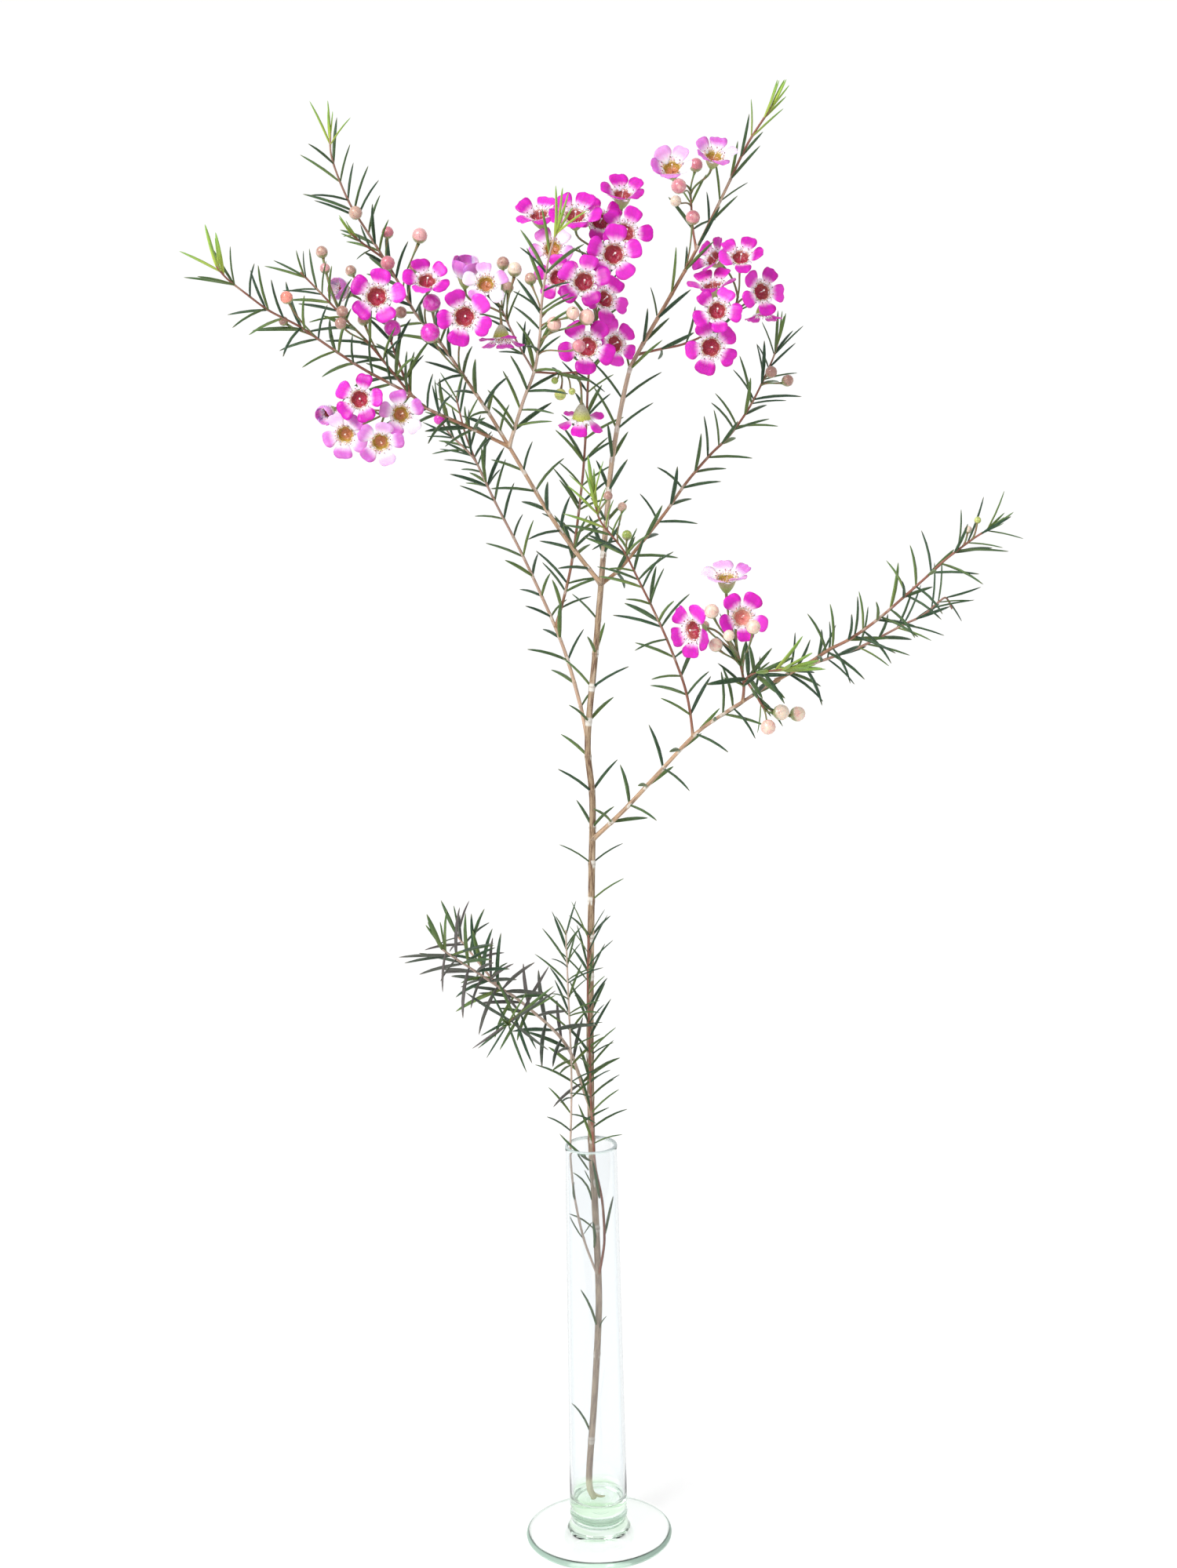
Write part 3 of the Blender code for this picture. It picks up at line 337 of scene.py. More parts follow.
# A flower's number of petals, a petal's length, its sides, the distance of its root from the flower's
# axis and below the cup's mouth, and the number of steps along its arc
PETALS = 5
PETAL_LENGTH = 7.8
PETAL_SIDES = 10
PETAL_START = 3.3
PETAL_DROP = 0.5
PETAL_STEPS = 24

# A petal's half width at shares of its length, its half thickness, the same at its thin rim, and the
# share of its length where that rim starts
PETAL_OUTLINE = (
    (0.0, 0.7), (0.08, 1.05), (0.18, 1.75), (0.29, 2.6), (0.40, 3.3), (0.52, 3.8), (0.64, 4.0),
    (0.76, 3.9), (0.86, 3.4), (0.93, 2.7), (0.975, 1.8), (0.995, 0.9),
)
PETAL_HALF_THICKNESS = 0.3
PETAL_RIM_THICKNESS = 0.2
PETAL_RIM = 0.9

# A petal that wraps round the flower does so at least this far from its axis, and it strays this little
LEAST_WRAP_REACH = 3.6
WRAPPED_LOOSENESS = 0.25

# The ranges in which one petal differs from the next: its rise in degrees at the root and at the tip,
# its length and width, its twist, its turn round the flower in radians, its dish, its crinkle and its
# notch
RISE_RANGE = (-9, 9)
FALL_RANGE = (-16, 16)
LENGTH_RANGE = (0.93, 1.04)
WIDTH_RANGE = (0.92, 1.12)
TWIST_RANGE = (-0.22, 0.22)
TURN_RANGE = (-0.08, 0.08)
DISH_RANGE = (-0.02, 0.03)
CRINKLE_RANGE = (0.1, 0.3)
NOTCH_RANGE = (-0.2, 0.7)

# A petal's bend grows with this power of the share of its length. Its sides waver by this share of its
# width, over this many radians from root to tip. Its notch takes this share of its length, for each one
# of notch, and its crinkles turn this many radians in a millimetre.
BEND_POWER = 1.2
SIDE_WAVER = 0.05
SIDE_WAVES = 8
NOTCH_DEPTH = 0.1
CRINKLE_WAVES = 1.9

# How each form's petals stand: rise in degrees at the root and at the tip, length and width as shares
# of the open petal's, how far they wrap round the flower, and how far they dish
PETAL_STANDS = {
    "open": (28, -6, 1.0, 1.0, 0.0, 0.035),
    "hanging": (34, 6, 1.0, 1.0, 0.0, 0.03),
    "loose": (46, 112, 1.05, 1.2, 0.9, 0.0),
    "cup": (40, 118, 1.4, 1.4, 0.9, 0.0),
}

# The forms of the flowers that are half-open balls
BALL_STANDS = {5: "cup", 6: "loose", 12: "loose"}

# The flowers whose petals still stand up, with the degrees by which they rise more than open ones
UPRIGHT = {2: 12, 13: 10, 14: 10, 16: 24, 21: 8, 26: 26, 27: 16, 28: 14, 32: 16, 33: 10, 35: 10}

# The flowers that hang, with the degrees by which their petals rise less on one side and more on the
# other
HANGING = {7: 12, 25: 34, 34: 0}

# The flower whose bowl is salmon pink, and the flowers that are this many times as large as their solid
SALMON = 36
SWOLLEN = {37: 1.15}

# A flower's calyx cup, as radii and heights up its outside and down its bowl, in millimetres
CUP_SIDES = 20
CUP_OUTSIDE = (
    (0.9, -6.5), (1.35, -6.1), (2.1, -5.0), (2.9, -3.6), (3.45, -2.1), (3.85, -0.7), (3.95, 0.0),
)
CUP_INSIDE = (
    (3.75, 0.22), (3.5, -0.05), (3.3, -0.8), (2.95, -1.7), (2.3, -2.35), (1.4, -2.6), (0.6, -2.65),
)
BOWL_MIDDLE = -2.65

# Where the bowl's finish ends: below this height, and outside these mean and greatest distances from
# the axis. The calyx wall lies beyond the next distance and below the last height.
BOWL_LOWEST = -2.7
BOWL_SPREAD = 3.66
BOWL_EDGE = 3.76
WALL_SPREAD = 3.0
WALL_TOP = -1.3

# The small parts of a flower: the heights, half widths and half depths of their rings, their tips, and
# how much the style bends
SPIKE_RINGS = ((0, 0.34, 0.22), (0.8, 0.27, 0.17), (1.5, 0.15, 0.1))
SPIKE_TIP = 1.9
ANTHER_RINGS = ((-0.28, 0.1, 0.1), (-0.1, 0.26, 0.26), (0.12, 0.26, 0.26))
ANTHER_TIP = 0.3
SEPAL_RINGS = ((0, 0.16, 1.0), (0.7, 0.16, 1.35), (1.4, 0.14, 1.3), (2.0, 0.12, 0.85))
SEPAL_TIP = 2.3
STYLE_RINGS = (
    (-2.7, 0.32, 0.32), (-0.4, 0.22, 0.22), (1.1, 0.2, 0.2), (1.35, 0.4, 0.4), (1.7, 0.42, 0.42),
)
STYLE_TIP = 2.0
STYLE_BEND = 0.1

# How the small parts stand: the number of stamen spikes, how far they stray from even places, the
# distance of their feet from the axis and above the mouth, the same for the anthers beside every other
# spike and how far along it they are, and the same for the sepals, with the sepals' lean in radians
STAMENS = 24
STAMEN_STRAY = 0.2
SPIKE_FOOT = (3.76, -0.1)
ANTHER_FOOT = (3.56, 0.0)
ANTHER_LENGTH = 1.8
SEPAL_FOOT = (3.7, -0.4)
SEPAL_LEAN = 1.2

# The least and greatest lean of stamens outward in an open flower and in a half-open one, in radians
OPEN_LEANS = (0.35, 0.95)
CLOSED_LEANS = (-0.5, -0.1)

# Each kind of flower's middle: its bowl, its calyx, its stamens and how they lean
CROWNS = {
    "magenta": ("crimson", "green", "stamen_white", OPEN_LEANS),
    "pale": ("olive", "green", "stamen_peach", OPEN_LEANS),
    "hanging": ("crimson", "speckled", "stamen_white", OPEN_LEANS),
    "salmon": ("salmon", "green", "stamen_peach", OPEN_LEANS),
    "half_open": ("crimson", "green", "stamen_white", CLOSED_LEANS),
}

# The glass's colours: through its thickness and how strongly, of its foot, of its tube and the painted
# shade where that turns away, of the plug's bands, and of the edges of foot and lip, with the roughness of
# those. Both edge colours are painted: the lip's is a painted grey shade, and the foot's edge is the thick
# glass's own green, painted as a soft surface in place of the shading of the light trapped in it
GLASS_DEPTH = (0.66, 0.93, 0.76)
GLASS_DENSITY = 12.0
GLASS_FOOT = (0.985, 1.0, 0.99)
GLASS_TUBE = (0.943, 0.96, 0.972)
GLASS_EDGE_SHADE = (0.50, 0.57, 0.60)
GLASS_BANDS = (0.70, 0.87, 0.68)
FOOT_EDGE_PAINTED_GREEN = (0.62, 0.86, 0.72)
LIP_PAINTED_SHADE = (0.72, 0.73, 0.80)
EDGE_ROUGHNESS = 0.4

# The bark's colours: its skin by age, and its streaks, pale patches, flakes, knots, bleached stretches
# and the two tones of peeled wood
BARK_SKIN = (
    (0.0, (0.27, 0.10, 0.07)),
    (0.17, (0.37, 0.19, 0.115)),
    (0.38, (0.46, 0.27, 0.15)),
    (0.74, (0.52, 0.33, 0.185)),
    (1.0, (0.35, 0.25, 0.155)),
)
BARK_STREAK = (0.12, 0.06, 0.035)
BARK_PALE = (0.60, 0.47, 0.34)
BARK_FLAKE = (0.66, 0.63, 0.57)
BARK_KNOT = (0.17, 0.11, 0.07)
BARK_BLEACHED = (0.66, 0.55, 0.46)
WOOD_GREEN = (0.62, 0.63, 0.36)
WOOD_PALE = (0.80, 0.76, 0.56)

# The leaves' colours: two greens, the painted highlight along the edges, the point, a young leaf's root
# and tip, and the dusky tone
LEAF_DEEP = (0.015, 0.042, 0.024)
LEAF_LIGHT = (0.036, 0.082, 0.040)
LEAF_EDGE_HIGHLIGHT = (0.10, 0.18, 0.07)
LEAF_POINT = (0.24, 0.20, 0.11)
YOUNG_ROOT = (0.50, 0.60, 0.09)
YOUNG_TIP = (0.28, 0.50, 0.08)
LEAF_DUSKY = (0.16, 0.11, 0.125)

# The two tones of a flower's or bud's stalk
STALK_GREEN = (0.12, 0.20, 0.06)
STALK_BROWN = (0.25, 0.14, 0.07)

# Each colour of petal: its deep and bright tones and its pale base, the shares of its length where its
# colour begins and is full, and the share of its colour that the palest petal has lost
PETAL_TONES = {
    "magenta": ((0.40, 0.001, 0.30), (0.74, 0.008, 0.58), (0.95, 0.80, 0.91), (0.12, 0.52), 0.04),
    "pale": ((0.52, 0.09, 0.50), (0.74, 0.30, 0.73), (0.96, 0.91, 0.95), (0.12, 0.66), 0.75),
}

# Each colour of bowl: its middle, the ring round that, and its edge, which the painted highlights share
DISC_TONES = {
    "crimson": ((0.43, 0.02, 0.065), (0.42, 0.08, 0.075), (0.68, 0.38, 0.34)),
    "olive": ((0.58, 0.20, 0.09), (0.50, 0.35, 0.05), (0.78, 0.62, 0.36)),
    "salmon": ((0.80, 0.24, 0.22), (0.78, 0.42, 0.32), (0.88, 0.72, 0.64)),
}

# Each colour of calyx: at its foot and at its mouth, and its specks
CALYX_TONES = {
    "green": ((0.27, 0.38, 0.07), (0.47, 0.42, 0.22), (0.22, 0.12, 0.06)),
    "speckled": ((0.46, 0.44, 0.34), (0.46, 0.48, 0.08), (0.13, 0.06, 0.05)),
}

# The two close colours of each small soft part
SOFT_TONES = {
    "stamen_white": ((0.92, 0.86, 0.84), (0.88, 0.68, 0.70)),
    "stamen_peach": ((0.92, 0.72, 0.64), (0.86, 0.46, 0.42)),
    "anther_brown": ((0.16, 0.03, 0.05), (0.30, 0.08, 0.06)),
    "sepal_white": ((0.93, 0.86, 0.92), (0.88, 0.72, 0.86)),
}

# The two colours that each tone of bud is mottled in, and the colours of its seams and of its calyx
BUD_TONES = {
    "green": ((0.30, 0.40, 0.08), (0.56, 0.58, 0.17)),
    "pink": ((0.57, 0.18, 0.23), (0.70, 0.36, 0.36)),
    "brown": ((0.37, 0.20, 0.16), (0.57, 0.38, 0.30)),
    "magenta": ((0.68, 0.03, 0.48), (0.82, 0.20, 0.66)),
    "red": ((0.76, 0.14, 0.11), (0.84, 0.28, 0.21)),
    "cream": ((0.79, 0.65, 0.52), (0.79, 0.48, 0.41)),
}
BUD_SEAM = (0.30, 0.06, 0.10)
BUD_CALYX = (0.28, 0.34, 0.13)
BUD_DOTS = (0.38, 0.24, 0.14)

# The plant's places are read across and down a picture of 1500 by 1999 points taken from this eye,
# whose distances are in millimetres and whose focal length is in picture points. A third number says
# how many millimetres the place lies behind the vase's axis.
EYE_DISTANCE = 814.0
EYE_HEIGHT = 433.5
EYE_ACROSS = 2.0
EYE_PITCH = math.radians(8.76)
EYE_ROLL = math.radians(1.2)
EYE_FOCAL = 2737.0
EYE_SENSOR = 24
EYE_NEAREST = 0.01
PICTURE_CENTRE = (750.0, 999.5)
PICTURE_HEIGHT = 1999.0

# The white surround: its strength to the sides and in front, its strength behind and wherever the eye
# sees it, and how far to the back a way points where the one gives way to the other
SIDE_LIGHT = 0.72
BACK_LIGHT = 1.03
BACK_TURN = (0.45, 0.75)

# The white floor, in metres: its size, the strength of its glow, the two tones of its paper, its glow
# round the object, its full glow far off and right under the vase, and the distances where those change
# over. The full glow right under the vase is a painted pool of light from the glass foot.
FLOOR_SIZE = 6.0
FLOOR_GLOW = 0.8
FLOOR_TONES = ((0.40, 0.40, 0.40), (0.43, 0.43, 0.43))
NEAR_GLOW = (0.79, 0.79, 0.79)
FULL_GLOW = (1.0, 1.0, 1.0)
FAR_GLOW_REACH = (0.8, 2.6)
VASE_LIGHT_POOL_REACH = (0.024, 0.036)

# The soft lamp: its place and what it aims at, in metres, its size and its power
LAMP_PLACE = (-0.9, -1.1, 1.3)
LAMP_AIM = (0, 0, 0.38)
LAMP_SIZE = 0.8
LAMP_POWER = 27

# Each leafy stem: what it grows from, its radii from start to end, the distances between leaf pairs
# from start to end, the leaves' length and opening, the bare length, and its route. Some have a closing
# of their own for the leaves near their tip.
TWIGS = {
    "main_stem": dict(
        parent=None, radii=(1.25, 1.45, 1.1, 0.38), spacing=(40, 18, 15, 13, 11, 8),
        leaf=17.5, opening=50, bare=25,
        route=((757, 1909, -5), (751, 1885, -6), (757, 1790, -3), (762, 1700, 0), (763, 1640, 1.5),
               (758, 1530, 5), (754, 1457, 7.2), (752, 1300, 10), (754, 1120, 12), (755, 1020, 12),
               (749, 945, 12), (759, 830, 12), (766, 745, 12), (773, 660, 12), (781, 580, 12),
               (799, 485, 12), (813, 450, 12), (861, 366, 14), (887, 319, 15), (927, 237, 17),
               (953, 183, 19), (985, 134, 21))),
    "left_branch": dict(
        parent="main_stem", radii=(1.0, 0.36), spacing=(9.5, 6.5), leaf=17.5, opening=60, bare=8,
        route=((766, 745, 12), (735, 705, 8), (700, 655, 4), (648, 568, -2), (620, 522, -5),
               (590, 478, -8), (559, 434, -10), (530, 400, -12), (502, 350, -15), (469, 297, -19),
               (444, 256, -24), (423, 202, -30), (421, 168, -33))),
    "left_branch_side": dict(
        parent="left_branch", radii=(0.45, 0.36), spacing=(6, 4), leaf=9, opening=45, bare=6,
        route=((489, 330, -16), (466, 313, -21), (447, 298, -27))),
    "far_left_branch": dict(
        parent="left_branch", radii=(0.75, 0.36), spacing=(9.5, 6.5), leaf=17.5, opening=64, bare=8,
        route=((648, 568, -2), (594, 543, -9), (543, 520, -16), (523, 503, -20), (464, 471, -29),
               (421, 443, -35), (383, 417, -41), (343, 396, -47), (313, 374, -52), (290, 356, -56),
               (276, 340, -59))),
    "far_left_upright": dict(
        parent="far_left_branch", radii=(0.6, 0.38), spacing=(8, 6.5), leaf=16, opening=55, bare=6,
        route=((523, 503, -20), (500, 440, -15), (488, 402, -12))),
    "far_left_side": dict(
        parent="far_left_branch", radii=(0.55, 0.36), spacing=(8, 6), leaf=16, opening=60, bare=9,
        route=((523, 503, -20), (472, 440, -30), (444, 411, -34), (411, 376, -38), (383, 347, -42))),
    "far_left_stalk": dict(
        parent="far_left_branch", radii=(0.5, 0.42), spacing=(30, 30), leaf=10, opening=40, bare=50,
        route=((523, 503, -20), (508, 515, -25), (488, 530, -30))),
    "middle_shoot": dict(
        parent="left_branch", radii=(0.8, 0.36), spacing=(9, 6), leaf=17, opening=56, bare=7,
        route=((648, 568, -2), (666, 514, -10), (681, 473, -16), (688, 430, -21), (690, 391, -25),
               (695, 353, -29), (702, 318, -33), (713, 285, -37))),
    "middle_shoot_left": dict(
        parent="middle_shoot", radii=(0.45, 0.38), spacing=(10, 8), leaf=14, opening=50, bare=8,
        route=((681, 473, -16), (661, 440, -12), (645, 407, -9), (638, 390, -8))),
    "middle_shoot_right": dict(
        parent="middle_shoot", radii=(0.45, 0.42), spacing=(9, 8), leaf=15, opening=55, bare=10,
        route=((681, 473, -16), (711, 476, -10), (741, 474, -4))),
    "rear_left_branch": dict(
        parent="main_stem", radii=(0.9, 0.38), spacing=(10, 7), leaf=17, opening=56, bare=14,
        route=((749, 945, 12), (741, 905, 17), (726, 850, 22), (708, 800, 26), (668, 712, 32),
               (630, 638, 36), (604, 585, 39), (572, 552, 42), (558, 528, 44))),
    "rear_left_side": dict(
        parent="rear_left_branch", radii=(0.5, 0.36), spacing=(8, 6), leaf=16, opening=52, bare=7,
        route=((630, 638, 36), (612, 600, 45), (594, 556, 54), (581, 505, 60))),
    "centre_branch": dict(
        parent="rear_left_branch", radii=(0.65, 0.4), spacing=(10, 8), leaf=17, opening=56, bare=8,
        route=((708, 800, 26), (721, 753, 27), (731, 703, 28), (742, 614, 29), (747, 545, 27),
               (750, 480, 22), (757, 420, 17), (763, 360, 15), (765, 318, 16))),
    "right_branch": dict(
        parent="main_stem", radii=(0.85, 0.36), spacing=(9.5, 6.5), leaf=17.5, opening=60, bare=9,
        route=((766, 745, 12), (785, 730, 17), (803, 710, 21), (846, 656, 29), (875, 615, 34),
               (905, 580, 38), (930, 555, 41), (957, 516, 45), (983, 462, 50), (993, 432, 52))),
    "low_right_branch": dict(
        parent="main_stem", radii=(1.05, 0.36), spacing=(12, 6.5), leaf=16.5, opening=62, bare=12,
        route=((756, 1072, 12), (775, 1052, 8), (800, 1028, 2), (840, 985, -7), (884, 938, -17),
               (916, 914, -24), (952, 891, -30), (990, 867, -34), (1028, 849, -36), (1057, 839, -37),
               (1093, 826, -38), (1122, 812, -39), (1152, 796, -39), (1175, 785, -39),
               (1198, 766, -38), (1206, 762, -37), (1213, 776, -34))),
    "low_right_upper": dict(
        parent="low_right_branch", radii=(0.75, 0.36), spacing=(7, 5.5), leaf=16.5, opening=68, bare=7,
        route=((990, 867, -34), (1034, 843, -44), (1057, 828, -48), (1081, 816, -51), (1105, 800, -54),
               (1128, 782, -57), (1152, 761, -60), (1178, 738, -63), (1202, 716, -65),
               (1225, 698, -67), (1246, 683, -69), (1264, 673, -71))),
    "low_right_stalk": dict(
        parent="low_right_branch", radii=(0.65, 0.42), spacing=(8, 8), leaf=16, opening=40, bare=9,
        route=((946, 895, -29), (948, 872, -36), (944, 848, -38), (938, 822, -38))),
    "low_right_shoot": dict(
        parent="low_right_stalk", radii=(0.5, 0.36), spacing=(4.5, 4), leaf=18.5, opening=44, bare=6,
        route=((948, 868, -37), (958, 860, -52), (978, 856, -66), (1004, 853, -76))),
    "low_right_buds": dict(
        parent="low_right_stalk", radii=(0.5, 0.42), spacing=(7, 7), leaf=12, opening=45, bare=8,
        route=((948, 868, -37), (954, 872, -42), (965, 889, -46), (975, 906, -47))),
    "inner_right_shoot": dict(
        parent="low_right_branch", radii=(0.6, 0.36), spacing=(8.5, 6), leaf=16.5, opening=60, bare=9,
        route=((884, 938, -17), (879, 905, -20), (873, 877, -23), (863, 848, -26), (849, 813, -29),
               (831, 774, -32), (813, 738, -35), (796, 704, -38), (778, 681, -41), (764, 662, -44),
               (756, 634, -47))),
    "low_left_branch": dict(
        parent="main_stem", radii=(0.8, 0.4), spacing=(7, 3.6), leaf=19, opening=78, bare=14,
        closing=0.1,
        route=((751, 1412, 8.6), (744, 1390, 4), (729, 1346, -4), (712, 1320, -10), (688, 1297, -17),
               (656, 1271, -26), (638, 1260, -31), (610, 1241, -39), (582, 1223, -48),
               (563, 1210, -56))),
    "low_left_shoot": dict(
        parent="low_left_branch", radii=(0.55, 0.36), spacing=(4, 3.5), leaf=19, opening=75, bare=5,
        closing=0.1,
        route=((670, 1283, -22), (660, 1294, -34), (651, 1302, -46), (646, 1307, -56))),
    "low_left_side": dict(
        parent="low_left_branch", radii=(0.55, 0.36), spacing=(5, 4), leaf=17.5, opening=68, bare=6,
        closing=0.1,
        route=((638, 1260, -31), (622, 1242, -27), (606, 1222, -22), (580, 1190, -13))),
    "thin_shoot": dict(
        parent="main_stem", radii=(0.55, 0.36), spacing=(8, 6.5), leaf=17, opening=68, bare=18,
        route=((763, 1630, 1.6), (756, 1612, 1), (744, 1579, -0.5), (734, 1535, -1), (729, 1497, -1),
               (727, 1462, -1.5), (728, 1420, -4), (728, 1355, -9), (724, 1262, -14),
               (722, 1211, -17), (721, 1186, -19))),
    "front_shoot": dict(
        parent="main_stem", radii=(0.6, 0.38), spacing=(7, 5.5), leaf=17, opening=62, bare=13,
        route=((764, 1630, 1.6), (768, 1600, -1.5), (770, 1575, -4), (767, 1530, -6), (759, 1490, -6.6),
               (756, 1457, -6.4), (753, 1400, -7), (751, 1320, -9), (749, 1250, -11), (750, 1192, -13))),
    "top_right_stalk": dict(
        parent="main_stem", radii=(0.5, 0.42), spacing=(10, 10), leaf=14, opening=50, bare=8,
        route=((887, 319, 15), (883, 292, 17), (881, 262, 20), (880, 240, 21))),
    "right_stalk": dict(
        parent="main_stem", radii=(0.55, 0.42), spacing=(11, 11), leaf=16, opening=58, bare=10,
        route=((813, 451, 12), (842, 445, 15), (870, 439, 19), (900, 426, 23), (930, 405, 25),
               (941, 378, 25))),
}

# The solids that the twigs are gathered in: each leafy branch with the small twigs on it.
LEAFY_STEMS = {
    "main_stem": ("main_stem",),
    "left_branch": ("left_branch", "left_branch_side"),
    "far_left_branch": ("far_left_branch", "far_left_upright", "far_left_side", "far_left_stalk"),
    "middle_shoot": ("middle_shoot", "middle_shoot_left", "middle_shoot_right"),
    "rear_left_branch": ("rear_left_branch", "rear_left_side"),
    "centre_branch": ("centre_branch",),
    "right_branch": ("right_branch",),
    "low_right_branch": ("low_right_branch",),
    "low_right_upper": ("low_right_upper",),
    "low_right_stalk": ("low_right_stalk", "low_right_shoot", "low_right_buds"),
    "inner_right_shoot": ("inner_right_shoot",),
    "low_left_branch": ("low_left_branch", "low_left_shoot", "low_left_side"),
    "thin_shoot": ("thin_shoot",),
    "front_shoot": ("front_shoot",),
    "top_right_stalk": ("top_right_stalk",),
    "right_stalk": ("right_stalk",),
}

# Each flower: the place of its cup's mouth, the degrees that it faces right of the front and up, the
# degrees from its right to its first petal, its width in the picture, its form, its colour, and the
# twig that bears it with the share of that twig's length.
BLOOMS = (
    ((480, 378, -36), 0, 10, 6, 74, "open", "magenta", "far_left_upright", 0.85),
    ((544, 358, -28), 5, 35, 32, 66, "open", "magenta", "left_branch", 0.6),
    ((592, 404, -34), 0, -5, 41, 74, "open", "magenta", "left_branch", 0.5),
    ((619, 362, -24), 0, 20, 20, 60, "open", "pale", "middle_shoot_left", 0.97),
    ((593, 352, -12), 10, 62, 10, 56, "ball", "pale", "middle_shoot_left", 0.86),
    ((437, 371, -22), -38, 14, 30, 54, "ball", "pale", "far_left_upright", 0.94),
    ((639, 433, -22), -5, -84, 62, 62, "open", "magenta", "middle_shoot_left", 0.95),
    ((458, 509, -48), -5, 5, 5, 66, "open", "magenta", "far_left_stalk", 0.97),
    ((440, 554, -44), -8, -12, 46, 62, "open", "pale", "far_left_stalk", 0.84),
    ((485, 564, -50), 5, -15, 5, 62, "open", "pale", "far_left_stalk", 0.9),
    ((511, 528, -42), 18, 5, 22, 60, "open", "pale", "far_left_stalk", 0.65),
    ((419, 526, -36), -30, -20, 30, 48, "ball", "pale", "far_left_stalk", 0.74),
    ((687, 274, 12), -14, 50, 8, 66, "open", "magenta", "centre_branch", 0.96),
    ((733, 275, -2), 0, 42, 60, 74, "open", "magenta", "centre_branch", 0.98),
    ((765, 282, 9), 10, 22, 38, 64, "open", "magenta", "centre_branch", 0.99),
    ((793, 248, 14), 4, 50, 30, 66, "open", "magenta", "centre_branch", 1.0),
    ((797, 296, 2), 18, 22, 60, 70, "open", "magenta", "centre_branch", 0.94),
    ((782, 324, -12), 5, 5, 12, 74, "open", "magenta", "centre_branch", 0.91),
    ((744, 359, -20), -5, 14, 6, 72, "open", "magenta", "middle_shoot", 0.60),
    ((771, 381, 0), 30, 18, 48, 66, "open", "magenta", "centre_branch", 0.82),
    ((711, 354, 0), -12, 10, 20, 62, "open", "magenta", "centre_branch", 0.84),
    ((704, 317, 8), -12, 20, 50, 60, "open", "pale", "centre_branch", 0.9),
    ((748, 442, -21), 0, 6, 51, 74, "open", "magenta", "middle_shoot_right", 0.97),
    ((784, 438, 3), 32, 8, 40, 62, "open", "magenta", "middle_shoot_right", 0.93),
    ((741, 535, -6), 5, -104, 66, 66, "open", "magenta", "middle_shoot_right", 0.86),
    ((856, 214, 2), -8, 34, 51, 66, "open", "pale", "top_right_stalk", 0.97),
    ((910, 199, 6), 12, 44, -8, 62, "open", "pale", "top_right_stalk", 0.92),
    ((944, 328, 0), 0, 36, 62, 64, "open", "magenta", "right_stalk", 0.97),
    ((971, 372, 8), 25, 6, 64, 64, "open", "magenta", "right_stalk", 0.93),
    ((914, 396, -5), -3, 12, 62, 65, "open", "magenta", "right_stalk", 0.82),
    ((906, 443, 2), 0, -8, 40, 70, "open", "magenta", "right_stalk", 0.72),
    ((909, 329, 20), -50, 30, 3, 60, "open", "magenta", "right_stalk", 0.99),
    ((908, 364, 13), -20, 60, 64, 66, "open", "magenta", "right_stalk", 0.9),
    ((972, 401, 28), 0, -84, 20, 50, "open", "magenta", "right_stalk", 0.87),
    ((926, 737, -42), 0, 66, 20, 70, "open", "pale", "low_right_stalk", 0.97),
    ((946, 787, -57), 8, 12, 53, 68, "open", "magenta", "low_right_stalk", 0.92),
    ((883, 804, -48), -50, -4, 54, 66, "open", "magenta", "low_right_stalk", 0.78),
)

